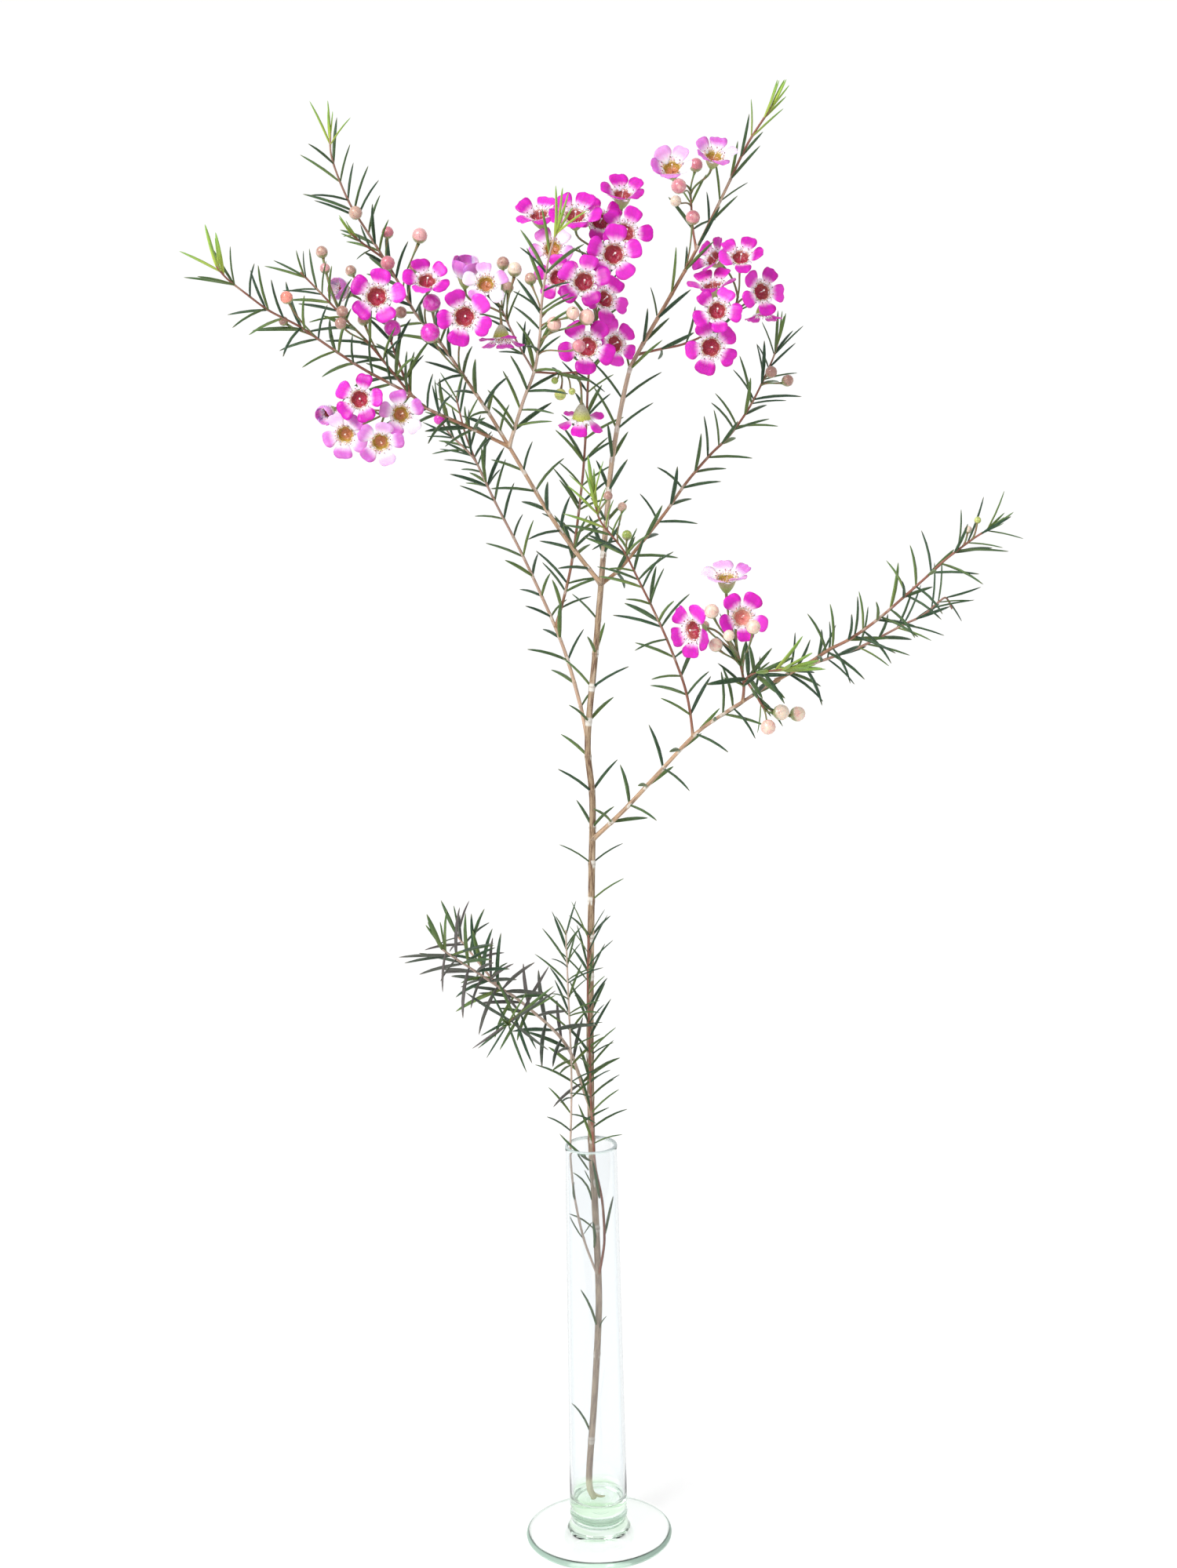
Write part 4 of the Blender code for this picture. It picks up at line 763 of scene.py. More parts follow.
# Each bud: its place, its width in the picture, its colour, and the twig that bears it with the share
# of that twig's length.
BUDS = (
    ((453, 271, -24), 17, "brown", "left_branch", 0.84),
    ((494, 296, -20), 15, "pink", "left_branch", 0.74),
    ((535, 300, -18), 19, "pink", "left_branch", 0.68),
    ((494, 335, -28), 18, "pink", "left_branch", 0.72),
    ((529, 339, -8), 16, "pink", "left_branch", 0.66),
    ((410, 321, -30), 15, "brown", "far_left_side", 0.66),
    ((414, 342, -32), 13, "pink", "far_left_side", 0.62),
    ((436, 397, -44), 15, "brown", "far_left_side", 0.45),
    ((434, 412, -46), 15, "brown", "far_left_side", 0.40),
    ((463, 407, -24), 15, "brown", "far_left_side", 0.30),
    ((447, 345, -10), 14, "brown", "far_left_upright", 0.99),
    ((511, 398, -20), 15, "brown", "far_left_upright", 0.90),
    ((550, 386, -26), 23, "magenta", "left_branch", 0.56),
    ((548, 424, -30), 25, "magenta", "left_branch", 0.47),
    ((500, 418, -28), 21, "magenta", "far_left_upright", 0.78),
    ((365, 379, -50), 16, "red", "far_left_branch", 0.66),
    ((361, 409, -40), 12, "brown", "far_left_branch", 0.66),
    ((641, 335, 0), 16, "brown", "middle_shoot_left", 0.93),
    ((656, 343, -6), 18, "cream", "middle_shoot_left", 0.80),
    ((676, 355, -14), 15, "brown", "middle_shoot", 0.62),
    ((647, 366, -2), 15, "brown", "middle_shoot_left", 0.74),
    ((560, 534, 40), 15, "magenta", "rear_left_branch", 0.98),
    ((706, 413, -24), 19, "cream", "middle_shoot", 0.47),
    ((748, 404, -27), 20, "cream", "middle_shoot", 0.50),
    ((730, 399, -30), 17, "cream", "middle_shoot", 0.56),
    ((738, 441, -34), 17, "pink", "middle_shoot", 0.44),
    ((714, 503, -12), 15, "green", "middle_shoot_right", 0.55),
    ((729, 499, -16), 9, "green", "middle_shoot_right", 0.64),
    ((707, 485, -14), 9, "green", "middle_shoot_right", 0.50),
    ((865, 237, -8), 19, "pink", "top_right_stalk", 0.84),
    ((883, 277, 4), 18, "pink", "main_stem", 0.875),
    ((887, 210, 20), 17, "pink", "top_right_stalk", 0.99),
    ((861, 256, 12), 14, "cream", "top_right_stalk", 0.72),
    ((907, 779, -60), 19, "cream", "low_right_stalk", 0.83),
    ((912, 822, -50), 18, "cream", "low_right_stalk", 0.68),
    ((960, 799, -70), 19, "cream", "low_right_stalk", 0.55),
    ((929, 810, -68), 15, "cream", "low_right_stalk", 0.73),
    ((898, 797, -35), 12, "brown", "low_right_stalk", 0.80),
    ((979, 927, -54), 20, "cream", "low_right_buds", 0.96),
    ((996, 908, -48), 21, "cream", "low_right_buds", 0.99),
    ((1017, 910, -42), 20, "cream", "low_right_buds", 0.86),
    ((1234, 675, -66), 10, "cream", "low_right_upper", 0.88),
    ((1246, 663, -70), 9, "green", "low_right_upper", 0.92),
    ((983, 474, 42), 15, "brown", "right_branch", 0.86),
    ((1004, 485, 46), 15, "brown", "right_branch", 0.84),
    ((775, 632, -52), 12, "brown", "inner_right_shoot", 0.93),
    ((793, 646, -46), 12, "brown", "inner_right_shoot", 0.80),
    ((799, 682, -32), 13, "green", "inner_right_shoot", 0.74),
)


def place(across, down, depth):
    """The real place, in millimetres, of a picture point that lies depth behind the vase's axis."""
    u = across - PICTURE_CENTRE[0]
    v = PICTURE_CENTRE[1] - down
    right = u * math.cos(EYE_ROLL) + v * math.sin(EYE_ROLL)
    up = v * math.cos(EYE_ROLL) - u * math.sin(EYE_ROLL)
    away = EYE_FOCAL * math.cos(EYE_PITCH) + up * math.sin(EYE_PITCH)
    rise = up * math.cos(EYE_PITCH) - EYE_FOCAL * math.sin(EYE_PITCH)
    reach = (depth + EYE_DISTANCE) / away
    return np.array((EYE_ACROSS + reach * right, depth, EYE_HEIGHT + reach * rise))


def picture_scale(depth):
    """Millimetres to a picture point, near the middle of the picture, at this depth."""
    return (depth + EYE_DISTANCE) / EYE_FOCAL


def facing(turn, tilt):
    """The way a flower looks, from the degrees that it turns right and up from the front."""
    turn = math.radians(turn)
    tilt = math.radians(tilt)
    return np.array((math.sin(turn) * math.cos(tilt), -math.cos(turn) * math.cos(tilt), math.sin(tilt)))


def unit(vector):
    return vector / max(np.linalg.norm(vector), TINY)


def smooth(points, step):
    """Evenly spaced points, about a step apart, on a smooth curve through the given points."""
    points = [np.asarray(p, float) for p in points]
    padded = [2 * points[0] - points[1], *points, 2 * points[-1] - points[-2]]
    dense = []
    for a, b, c, d in zip(padded, padded[1:], padded[2:], padded[3:]):
        for t in np.linspace(0, 1, CURVE_TRIES, endpoint=False):
            dense.append(0.5 * (2 * b + (c - a) * t + (2 * a - 5 * b + 4 * c - d) * t * t
                                + (3 * b - a - 3 * c + d) * t ** 3))
    dense = np.array(dense + [points[-1]])
    along = np.concatenate([[0], np.cumsum(np.linalg.norm(np.diff(dense, axis=0), axis=1))])
    count = max(2, round(along[-1] / step) + 1)
    even = np.linspace(0, along[-1], count)
    return np.stack([np.interp(even, along, dense[:, k]) for k in range(3)], axis=1)


def bent_stalk(start, leaving, end, arriving):
    """Points from start to end, which leave one way and arrive the other."""
    reach = STALK_LEAD * np.linalg.norm(end - start)
    controls = (start, start + reach * leaving, end - reach * arriving, end)
    points = []
    for t in np.linspace(0, 1, STALK_POINTS):
        shares = ((1 - t) ** 3, 3 * t * (1 - t) ** 2, 3 * t * t * (1 - t), t ** 3)
        points.append(sum(s * c for s, c in zip(shares, controls)))
    return np.array(points)


def corners(points, slack):
    """The numbers of the points that straight stretches need to follow the curve this closely."""
    start, end = points[0], points[-1]
    span = unit(end - start)
    offsets = points - start
    strays = np.linalg.norm(offsets - np.outer(offsets @ span, span), axis=1)
    worst = int(np.argmax(strays))
    if strays[worst] <= slack:
        return [0, len(points) - 1]
    before = corners(points[:worst + 1], slack)
    after = corners(points[worst:], slack)
    return before[:-1] + [worst + k for k in after]


class Twig:
    """A smooth tapered twig, whose centreline starts on the centreline of what it grows from."""

    def __init__(self, name, facts, parent):
        self.name = name
        self.parent = parent
        self.facts = facts
        points = [place(*p) for p in facts["route"]]
        if parent:
            points[0] = parent.nearest(points[0])
        self.fine = smooth(points, TWIG_STEP)
        self.along = np.linspace(0, 1, len(self.fine))
        self.length = float(np.linalg.norm(np.diff(self.fine, axis=0), axis=1).sum())

    def nearest(self, point):
        return self.fine[np.argmin(np.linalg.norm(self.fine - point, axis=1))]

    def at(self, share):
        return np.array([np.interp(share, self.along, self.fine[:, k]) for k in range(3)])

    def heading(self, share):
        return unit(self.at(min(share + HEADING_REACH, 1)) - self.at(max(share - HEADING_REACH, 0)))

    def radius(self, share):
        radii = self.facts["radii"]
        return float(np.interp(share, np.linspace(0, 1, len(radii)), radii))

    def centreline(self):
        """The points of a close run of straight stretches, and the radius at each."""
        kept = corners(self.fine, TWIG_SLACK)
        return self.fine[kept], [self.radius(share) for share in self.along[kept]]


class Surroundings:
    """What a new leaf has to stay clear of: other leafy stems, flowers, buds and the glass."""

    def __init__(self):
        self.starts = np.zeros((0, 3))
        self.ends = np.zeros((0, 3))
        self.radii = np.zeros(0)
        self.owners = np.zeros(0, int)
        self.flowers = []

    def add_run(self, points, radii, owner):
        self.starts = np.vstack([self.starts, points[:-1]])
        self.ends = np.vstack([self.ends, points[1:]])
        self.radii = np.append(self.radii, radii)
        self.owners = np.append(self.owners, np.full(len(points) - 1, owner))

    def add_flower(self, mouth, looks, scale):
        self.flowers.append((mouth, looks, scale))

    def in_glass(self, point):
        """Whether a point of a leaf would touch the vase's wall or floor."""
        off_axis = math.hypot(point[0], point[1])
        in_reach = point[2] < VASE_HEIGHT + LEAF_THICKNESS
        outside = off_axis > RIM_RADIUS - WALL - LEAF_CLEARANCE
        return in_reach and (outside or point[2] < PLUG_TOP + PLUG_DOME)

    def in_flower(self, point):
        """Whether a point of a leaf would touch a flower's petals, or the cup behind them."""
        for mouth, looks, scale in self.flowers:
            offset = (point - mouth) / scale
            height = float(offset @ looks)
            spread = math.sqrt(max(float(offset @ offset) - height * height, 0))
            if -CUP_FLOOR < height < 0.5 * BLOOM_RADIUS and spread < BLOOM_RADIUS + LEAF_CLEARANCE:
                return True
            if -CUP_DEPTH - LEAF_CLEARANCE < height < 0 and spread < CUP_RADIUS + LEAF_CLEARANCE:
                return True
        return False

    def blocked(self, points, radius, owner):
        """Whether a leaf along these points would touch what isn't its own leafy stem."""
        samples = [a + (b - a) * t for a, b in zip(points, points[1:]) for t in LEAF_SAMPLES]
        if any(self.in_glass(p) or self.in_flower(p) for p in samples):
            return True
        others = self.owners != owner
        starts, ends, radii = self.starts[others], self.ends[others], self.radii[others]
        spans = ends - starts
        lengths = np.maximum((spans ** 2).sum(axis=1), TINY)
        for sample in samples:
            t = np.clip(((sample - starts) * spans).sum(axis=1) / lengths, 0, 1)
            distance = np.linalg.norm(starts + t[:, None] * spans - sample, axis=1)
            if (distance < radii + radius + LEAF_CLEARANCE).any():
                return True
        return False


def grow_twigs():
    twigs = {}
    for name, facts in TWIGS.items():
        twigs[name] = Twig(name, facts, twigs.get(facts["parent"]))
    return twigs


def owner_numbers():
    return {twig: k for k, members in enumerate(LEAFY_STEMS.values()) for twig in members}


def flower_places():
    """Each flower's mouth, the way it looks, and its scale."""
    found = []
    for where, turn, tilt, _, width, *_ in BLOOMS:
        scale = 0.5 * width * picture_scale(where[2]) / BLOOM_RADIUS
        found.append((place(*where), facing(turn, tilt), scale))
    return found


def leaf_line(root, heading, outward, length, opening):
    """Three points of a leaf that leaves its twig, opens outward and arches a little further back."""
    start, end = (math.radians(opening * share) for share in LEAF_ARCH)
    middle_way = heading * math.cos(start) + outward * math.sin(start)
    tip_way = heading * math.cos(end) + outward * math.sin(end)
    middle = root + 0.5 * length * middle_way
    return [root, middle, middle + 0.5 * length * tip_way]


def leaves_of(twig, surroundings, owner, seed, spacing,
              stretch=(0, 1), first_turn=0, pair_turn=PAIR_TURN):
    """Opposite pairs of leaves, each turned from the last by some degrees and clear of other things.

    Each leaf is its three points, the way that its twig runs there, and its share of the twig's length.
    """
    draw = random.Random(seed)
    facts = twig.facts
    reference = unit(np.cross(twig.heading(0.5), ODD_WAY))
    start, end = stretch
    distance = max(facts["bare"], start * twig.length)
    pair = 0
    leaves = []
    while distance < end * twig.length + 0.1:
        share = distance / twig.length
        heading = twig.heading(share)
        across = unit(np.cross(heading, reference))
        aside = np.cross(across, heading)
        turn = math.radians(first_turn + pair_turn * pair + draw.uniform(0, 2 * PAIR_STRAY))
        size = facts["leaf"] * (1 - TIP_SHRINK * max(0, share - TIP_START))
        opening = facts["opening"] * (1 - facts.get("closing", CLOSING) * share ** 5)
        for side in (0, math.pi):
            length = size * draw.uniform(*SIZE_SPREAD)
            spread = opening * draw.uniform(*OPENING_SPREAD)
            if draw.random() < LOST_SHARE and share < KEPT_BEYOND:
                continue
            for nudge, fold in LEAF_TRIES:
                angle = turn + side + nudge
                outward = across * math.cos(angle) + aside * math.sin(angle)
                line = leaf_line(twig.at(share), heading, outward, length, spread * fold)
                if not surroundings.blocked(line, LEAF_THICKNESS / 2, owner):
                    leaves.append((line, heading, share))
                    surroundings.add_run(np.array(line), [LEAF_THICKNESS / 2] * 2, owner)
                    break
        distance += np.interp(share, np.linspace(0, 1, len(spacing)), spacing)
        pair += 1
    return leaves


def stalk_route(twig, share, end, arriving):
    start = twig.at(share)
    leaving = unit(unit(end - start) + STALK_FOLLOW * twig.heading(share))
    return bent_stalk(start, leaving, end, arriving)


def plan_plant():
    """Every twig, flower stalk, bud and leaf of the plant, with the twig that bears each."""
    twigs = grow_twigs()
    owners = owner_numbers()
    flowers = flower_places()
    surroundings = Surroundings()
    stalks = []
    buds = []
    for twig in twigs.values():
        points, radii = twig.centreline()
        surroundings.add_run(points, radii[1:], owners[twig.name])
    for (mouth, looks, scale), (*_, bearer, share) in zip(flowers, BLOOMS):
        surroundings.add_flower(mouth, looks, scale)
        foot = mouth - looks * (CUP_DEPTH * scale + GAP)
        stalks.append((bearer, stalk_route(twigs[bearer], share, foot, looks)))
    for where, width, tone, bearer, share in BUDS:
        centre = place(*where)
        radius = 0.5 * width * picture_scale(where[2])
        start = twigs[bearer].at(share)
        arriving = unit(unit(centre - start) + BUD_LIFT)
        stalks.append((bearer, stalk_route(twigs[bearer], share, centre, arriving)))
        buds.append((bearer, centre, unit(arriving + BUD_TURN), radius, tone))
        core = np.array([centre - BUD_CORE, centre + BUD_CORE])
        surroundings.add_run(core, [radius], owners[bearer])
    for bearer, route in stalks:
        surroundings.add_run(route, [STALK_RADIUS] * (len(route) - 1), owners[bearer])
    leaves = {name: leaves_of(twig, surroundings, owners[name], name, twig.facts["spacing"])
              for name, twig in twigs.items()}
    for name, (start, end, spacing) in MORE_LEAVES.items():
        leaves[name] += leaves_of(twigs[name], surroundings, owners[name], name + " again", (spacing,),
                                  (start, end), SIDE_TURN, SAME_SIDES)
    return twigs, flowers, stalks, buds, leaves


class Link:
    """A value from a node's socket. Sums and products of it add Math nodes."""

    def __init__(self, nodes, socket):
        self.nodes = nodes
        self.socket = socket

    def math(self, operation, *others):
        inputs = dict(enumerate((self, *others)))
        return self.nodes.add("ShaderNodeMath", {"operation": operation}, inputs)

    def __add__(self, other):
        return self.math("ADD", other)

    __radd__ = __add__

    def __sub__(self, other):
        return self.math("SUBTRACT", other)

    def __rsub__(self, other):
        return (self * -1) + other

    def __mul__(self, other):
        return self.math("MULTIPLY", other)

    __rmul__ = __mul__

    def __truediv__(self, other):
        return self.math("DIVIDE", other)

    def __pow__(self, other):
        return self.math("POWER", other)

    def between(self, low, high, least=0, most=1):
        """The least below low, the most above high, and a smooth rise from one to the other."""
        inputs = {"Value": self, "From Min": low, "From Max": high, "To Min": least, "To Max": most}
        return self.nodes.add("ShaderNodeMapRange", {"interpolation_type": "SMOOTHSTEP"}, inputs)


def set_stops(elements, stops):
    """Gives a colour ramp, which starts with two stops, these positions and colours."""
    for element, (position, colour) in zip(elements, stops):
        element.position = position
        element.color = (*colour, 1)
    for position, colour in stops[len(elements):]:
        elements.new(position).color = (*colour, 1)


class Nodes:
    """The nodes of one finish or of the surround, all added by one method."""

    def __init__(self, tree):
        self.tree = tree

    def give(self, socket, value):
        """Links a value to a socket, or sets the socket to a plain number or colour."""
        if isinstance(value, Link):
            self.tree.links.new(value.socket, socket)
        elif socket.type == "RGBA":
            socket.default_value = (*value, 1)
        else:
            socket.default_value = value

    def add(self, kind, settings=None, inputs=None, output=0):
        """A new node with these settings and inputs, as a link from one of its outputs."""
        node = self.tree.nodes.new(kind)
        for name, value in (settings or {}).items():
            if name == "stops":
                set_stops(node.color_ramp.elements, value)
            else:
                setattr(node, name, value)
        for name, value in (inputs or {}).items():
            self.give(node.inputs[name], value)
        return Link(self, node.outputs[output])

    def part(self, vector, axis):
        return self.add("ShaderNodeSeparateXYZ", inputs={0: vector}, output="XYZ".index(axis))

    def length(self, vector):
        return self.add("ShaderNodeVectorMath", {"operation": "LENGTH"}, {0: vector}, "Value")

    def stretched(self, vector, factors):
        return self.add("ShaderNodeVectorMath", {"operation": "MULTIPLY"}, {0: vector, 1: factors})

    def noise(self, vector, scale, detail=2.0, roughness=0.5):
        inputs = {"Vector": vector, "Scale": scale, "Detail": detail, "Roughness": roughness}
        return self.add("ShaderNodeTexNoise", inputs=inputs)

    def mix(self, factor, first, second):
        """A mix of two colours, which are a Mix node's inputs 6 and 7 and its output 2."""
        return self.add("ShaderNodeMix", {"data_type": "RGBA"}, {0: factor, 6: first, 7: second}, 2)

    def ramp(self, factor, stops):
        return self.add("ShaderNodeValToRGB", {"stops": stops}, {0: factor})

    def attribute(self, name, output="Fac"):
        return self.add("ShaderNodeAttribute", {"attribute_name": name}, output=output)

    def position(self):
        """The place on the object, in metres."""
        return self.add("ShaderNodeTexCoord", output="Object")


class Finish(Nodes):
    """A material with one Principled shader, whose fixed values are set directly."""

    def __init__(self, name, **fixed):
        self.material = bpy.data.materials.new(name)
        self.material.use_nodes = True
        super().__init__(self.material.node_tree)
        self.shader = self.tree.nodes["Principled BSDF"]
        self.output = self.tree.nodes["Material Output"]
        for socket, value in fixed.items():
            self.set(socket.replace("_", " "), value)

    def set(self, socket, value):
        self.give(self.shader.inputs[socket], value)

    def grain(self):
        """The place on a form before it was bent or turned, in millimetres."""
        return self.attribute("grain", "Vector")

    def tint(self):
        return self.attribute("tint")

    def bump(self, height, strength, distance):
        inputs = {"Height": height, "Strength": strength, "Distance": distance}
        self.set("Normal", self.add("ShaderNodeBump", inputs=inputs))

    def veil(self, factor, colour):
        """Mixes a plain soft surface of this colour over the shader, as far as the factor says."""
        bare = Link(self, self.shader.outputs[0])
        looks = {"Base Color": colour, "Roughness": EDGE_ROUGHNESS}
        cover = self.add("ShaderNodeBsdfPrincipled", inputs=looks)
        mixed = self.add("ShaderNodeMixShader", inputs={0: factor, 1: bare, 2: cover})
        self.give(self.output.inputs["Surface"], mixed)


def coordinates(obj):
    """The places of an object's points, in millimetres."""
    flat = np.empty(3 * len(obj.data.vertices))
    obj.data.vertices.foreach_get("co", flat)
    return flat.reshape(-1, 3) / MM


def move_points(obj, points):
    obj.data.vertices.foreach_set("co", np.ravel(points) * MM)
    obj.data.update()


def store(obj, name, kind, values):
    """Keeps a value for each point of the object, under a name that its finish reads."""
    attribute = obj.data.attributes.get(name) or obj.data.attributes.new(name, kind, "POINT")
    attribute.data.foreach_set("vector" if kind == "FLOAT_VECTOR" else "value", np.ravel(values))


def store_same(obj, name, value):
    store(obj, name, "FLOAT", np.full(len(obj.data.vertices), float(value)))


def loft(name, sides, rings, tip):
    """A closed form drawn out along Z from a flat base, ring by ring, to a point at the tip's height.

    Each ring is its height, half width and half depth.
    """
    height, width, depth = rings[0]
    base = (0, 0, height * MM)
    last = (tip, *rings[-1][1:])
    bpy.ops.object.select_all(action="DESELECT")
    bpy.ops.mesh.primitive_circle_add(vertices=sides, radius=MM, fill_type="NGON", location=base)
    form = bpy.context.object
    form.name = name
    bpy.ops.object.transform_apply(location=True, rotation=False, scale=False)
    bpy.ops.object.mode_set(mode="EDIT")
    bpy.ops.mesh.select_all(action="SELECT")
    bpy.ops.transform.resize(value=(width, depth, 1), center_override=base)
    for (start, *sizes), (end, *next_sizes) in zip(rings, [*rings[1:], last]):
        growth = [after / before for before, after in zip(sizes, next_sizes)]
        bpy.ops.mesh.extrude_region_move(TRANSFORM_OT_translate={"value": (0, 0, (end - start) * MM)})
        bpy.ops.transform.resize(value=(*growth, 1), center_override=(0, 0, end * MM))
    bpy.ops.mesh.merge(type="CENTER")
    bpy.ops.mesh.select_all(action="SELECT")
    bpy.ops.mesh.normals_make_consistent(inside=False)
    bpy.ops.object.mode_set(mode="OBJECT")
    bpy.ops.object.shade_smooth()
    store(form, "grain", "FLOAT_VECTOR", coordinates(form))
    store_same(form, "tint", 0)
    return form


def turned_rings(outline):
    return [(height, radius, radius) for radius, height in outline]


def straight_rod(name, sides, cuts):
    """A rod one in radius and height, whose length is cut up by this number of rings, twice over."""
    bpy.ops.object.select_all(action="DESELECT")
    bpy.ops.mesh.primitive_cylinder_add(vertices=sides, radius=MM, depth=MM, end_fill_type="NGON",
                                        location=(0, 0, 0.5 * MM))
    rod = bpy.context.object
    rod.name = name
    bpy.ops.object.transform_apply(location=True, rotation=False, scale=False)
    for _ in range(2):
        bpy.ops.object.mode_set(mode="EDIT")
        bpy.ops.mesh.select_mode(type="EDGE")
        bpy.ops.mesh.select_all(action="DESELECT")
        bpy.ops.object.mode_set(mode="OBJECT")
        heights = coordinates(rod)[:, 2]
        for edge in rod.data.edges:
            start, end = edge.vertices
            edge.select = bool(abs(heights[start] - heights[end]) > LEVEL_SLACK)
        bpy.ops.object.mode_set(mode="EDIT")
        bpy.ops.mesh.subdivide(number_cuts=cuts)
        bpy.ops.object.mode_set(mode="OBJECT")
    bpy.ops.object.shade_smooth()
    return rod


def copy_of(blank):
    """A copy of a shape with a mesh of its own."""
    copy = blank.copy()
    copy.data = blank.data.copy()
    bpy.context.collection.objects.link(copy)
    return copy


def gathered(name, pieces):
    """One object of several pieces."""
    bpy.ops.object.select_all(action="DESELECT")
    for piece in pieces:
        piece.select_set(True)
    whole = pieces[0]
    bpy.context.view_layer.objects.active = whole
    if len(pieces) > 1:
        bpy.ops.object.join()
    whole.name = name
    whole.data.name = name
    return whole


def discard(*blanks):
    for blank in blanks:
        bpy.data.objects.remove(blank)


def dress(piece, node, slot):
    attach(piece, "root")
    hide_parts(node)


def square_ways(route):
    """Two directions square to a route at each of its points, which don't twist along it."""
    ways = np.gradient(route, axis=0)
    ways /= np.linalg.norm(ways, axis=1)[:, None]
    aside = np.eye(3)[np.argmin(np.abs(ways[0]))]
    asides = []
    for way in ways:
        aside = unit(aside - way * (aside @ way))
        asides.append(aside)
    asides = np.array(asides)
    return asides, np.cross(ways, asides)


def lay_along(rod, route, radii):
    """Bends a straight rod to a route, with this radius at each of the route's points."""
    local = coordinates(rod)
    steps = local[:, 2] * (len(route) - 1)
    numbers = np.arange(len(route))
    asides, others = square_ways(route)

    def at(values):
        return np.stack([np.interp(steps, numbers, values[:, k]) for k in range(3)], axis=1)

    radius = np.interp(steps, numbers, radii)
    across = local[:, :1] * radius[:, None]
    over = local[:, 1:2] * radius[:, None]
    move_points(rod, at(route) + at(asides) * across + at(others) * over)
    length = np.linalg.norm(np.diff(route, axis=0), axis=1).sum()
    store(rod, "grain", "FLOAT_VECTOR", np.column_stack((across, over, local[:, 2] * length)))
    return rod


def bark_rod(twig, leaves):
    """A twig's bark: flared where it grows out, and swollen at each pair of leaves."""
    on_stem = twig.parent is None
    cuts = max(3, round(math.sqrt(twig.length)) - 1)
    rod = straight_rod(twig.name, STEM_SIDES if on_stem else TWIG_SIDES, cuts)
    distances = twig.along * twig.length
    radii = np.array([twig.radius(share) for share in twig.along])
    if not on_stem:
        radii *= TWIG_SHARE * (1 + FLARE * np.exp(-distances / FLARE_REACH))
    knots = np.zeros(len(distances))
    for share in sorted({share for _, _, share in leaves}):
        knots = np.maximum(knots, np.exp(-((distances - share * twig.length) / KNOT_REACH) ** 2))
    radii *= 1 + KNOT_SWELL * knots
    if on_stem:
        peeled = np.clip(PEELED_LENGTH - distances, 0, 1)
        bleached = np.interp(twig.along, *zip(*STEM_BLEACH))
    else:
        peeled = np.zeros(len(distances))
        bleached = np.full(len(distances), float(BLEACHED.get(twig.name, 0)))
    age = np.clip((radii - YOUNG_RADIUS) / AGEING_RADIUS, 0, OLDEST)
    heights = coordinates(rod)[:, 2]
    lay_along(rod, twig.fine, radii)
    for name, values in {"age": age, "knot": knots, "peeled": peeled, "bleached": bleached}.items():
        store(rod, name, "FLOAT", np.interp(heights, twig.along, values))
    return rod


def torn_end(twig):
    """The strip of wood that curls to the right from the stem's cut end."""
    route = np.array([twig.fine[TORN_START], *(place(*spot) for spot in TORN_STRIP)])
    strip = lay_along(straight_rod("torn_strip", TORN_SIDES, 3), route, TORN_RADII)
    for name, value in {"age": 1, "knot": 0, "peeled": 1, "bleached": 0}.items():
        store_same(strip, name, value)
    return strip


def build_bark(name, members, twigs, leaves, finish):
    rods = [bark_rod(twigs[member], leaves[member]) for member in members]
    if name == "main_stem":
        rods.append(torn_end(twigs[name]))
    piece = gathered(name + "_bark", rods)
    piece.data.materials.append(finish)
    dress(piece, name, "brown_bark")


def needle_blank(finish):
    """A leaf one long: a flat-topped blade with a keel below, narrow at its root and pointed."""
    blank = loft("needle", 6, NEEDLE_RINGS, 1.0)
    blank.data.materials.append(finish)
    return blank


def needle(blank, leaf, freshness, slender=1.0):
    """A copy of the blank, bent along its leaf's line with its flat side towards the twig."""
    (root, middle, tip), heading, _ = leaf
    length = np.linalg.norm(tip - root)
    local = coordinates(blank)
    t = local[:, 2:]
    bend = 2 * middle - 0.5 * (root + tip)
    centre = (1 - t) ** 2 * root + 2 * t * (1 - t) * bend + t ** 2 * tip
    ways = (1 - t) * (bend - root) + t * (tip - bend)
    ways /= np.linalg.norm(ways, axis=1)[:, None]
    aside = unit(np.cross(heading, tip - root))
    over = np.cross(ways, aside)
    width = max(LEAF_HALF_WIDTH * length * slender, LEAST_HALF_WIDTH)
    depth = width * LEAF_HALF_THICKNESS / LEAF_HALF_WIDTH
    keel = np.where(local[:, 1:2] > 0, TOP_SHARE, KEEL_SHARE)
    copy = copy_of(blank)
    move_points(copy, centre + aside * local[:, :1] * width + over * local[:, 1:2] * depth * keel)
    store_same(copy, "tint", freshness)
    return copy


def tip_leaves(twig, rise, size, draw):
    """The young leaves that stand close together round a twig's fresh tip."""
    heading = unit(twig.heading(1) + np.array((0, 0, rise)))
    across = unit(np.cross(heading, ODD_WAY))
    aside = np.cross(across, heading)
    first = draw.uniform(0, math.tau)
    leaves = []
    for number in range(TIP_LEAVES):
        angle = first + TIP_TURN * number
        outward = across * math.cos(angle) + aside * math.sin(angle)
        share = 1 - TIP_SPACING * number / twig.length
        opening = TIP_OPENING + TIP_OPENING_STEP * number + draw.uniform(0, TIP_OPENING_STEP)
        length = size * draw.uniform(*TIP_SIZE_SPREAD)
        leaves.append((leaf_line(twig.at(share), heading, outward, length, opening), heading, share))
    return leaves


def vase_leaves():
    """The leaves that stand inside the vase, each at its own place."""
    upward = np.array((0, 0, 1))
    return [([place(*spot) for spot in spots], upward, 0) for spots in VASE_LEAVES]


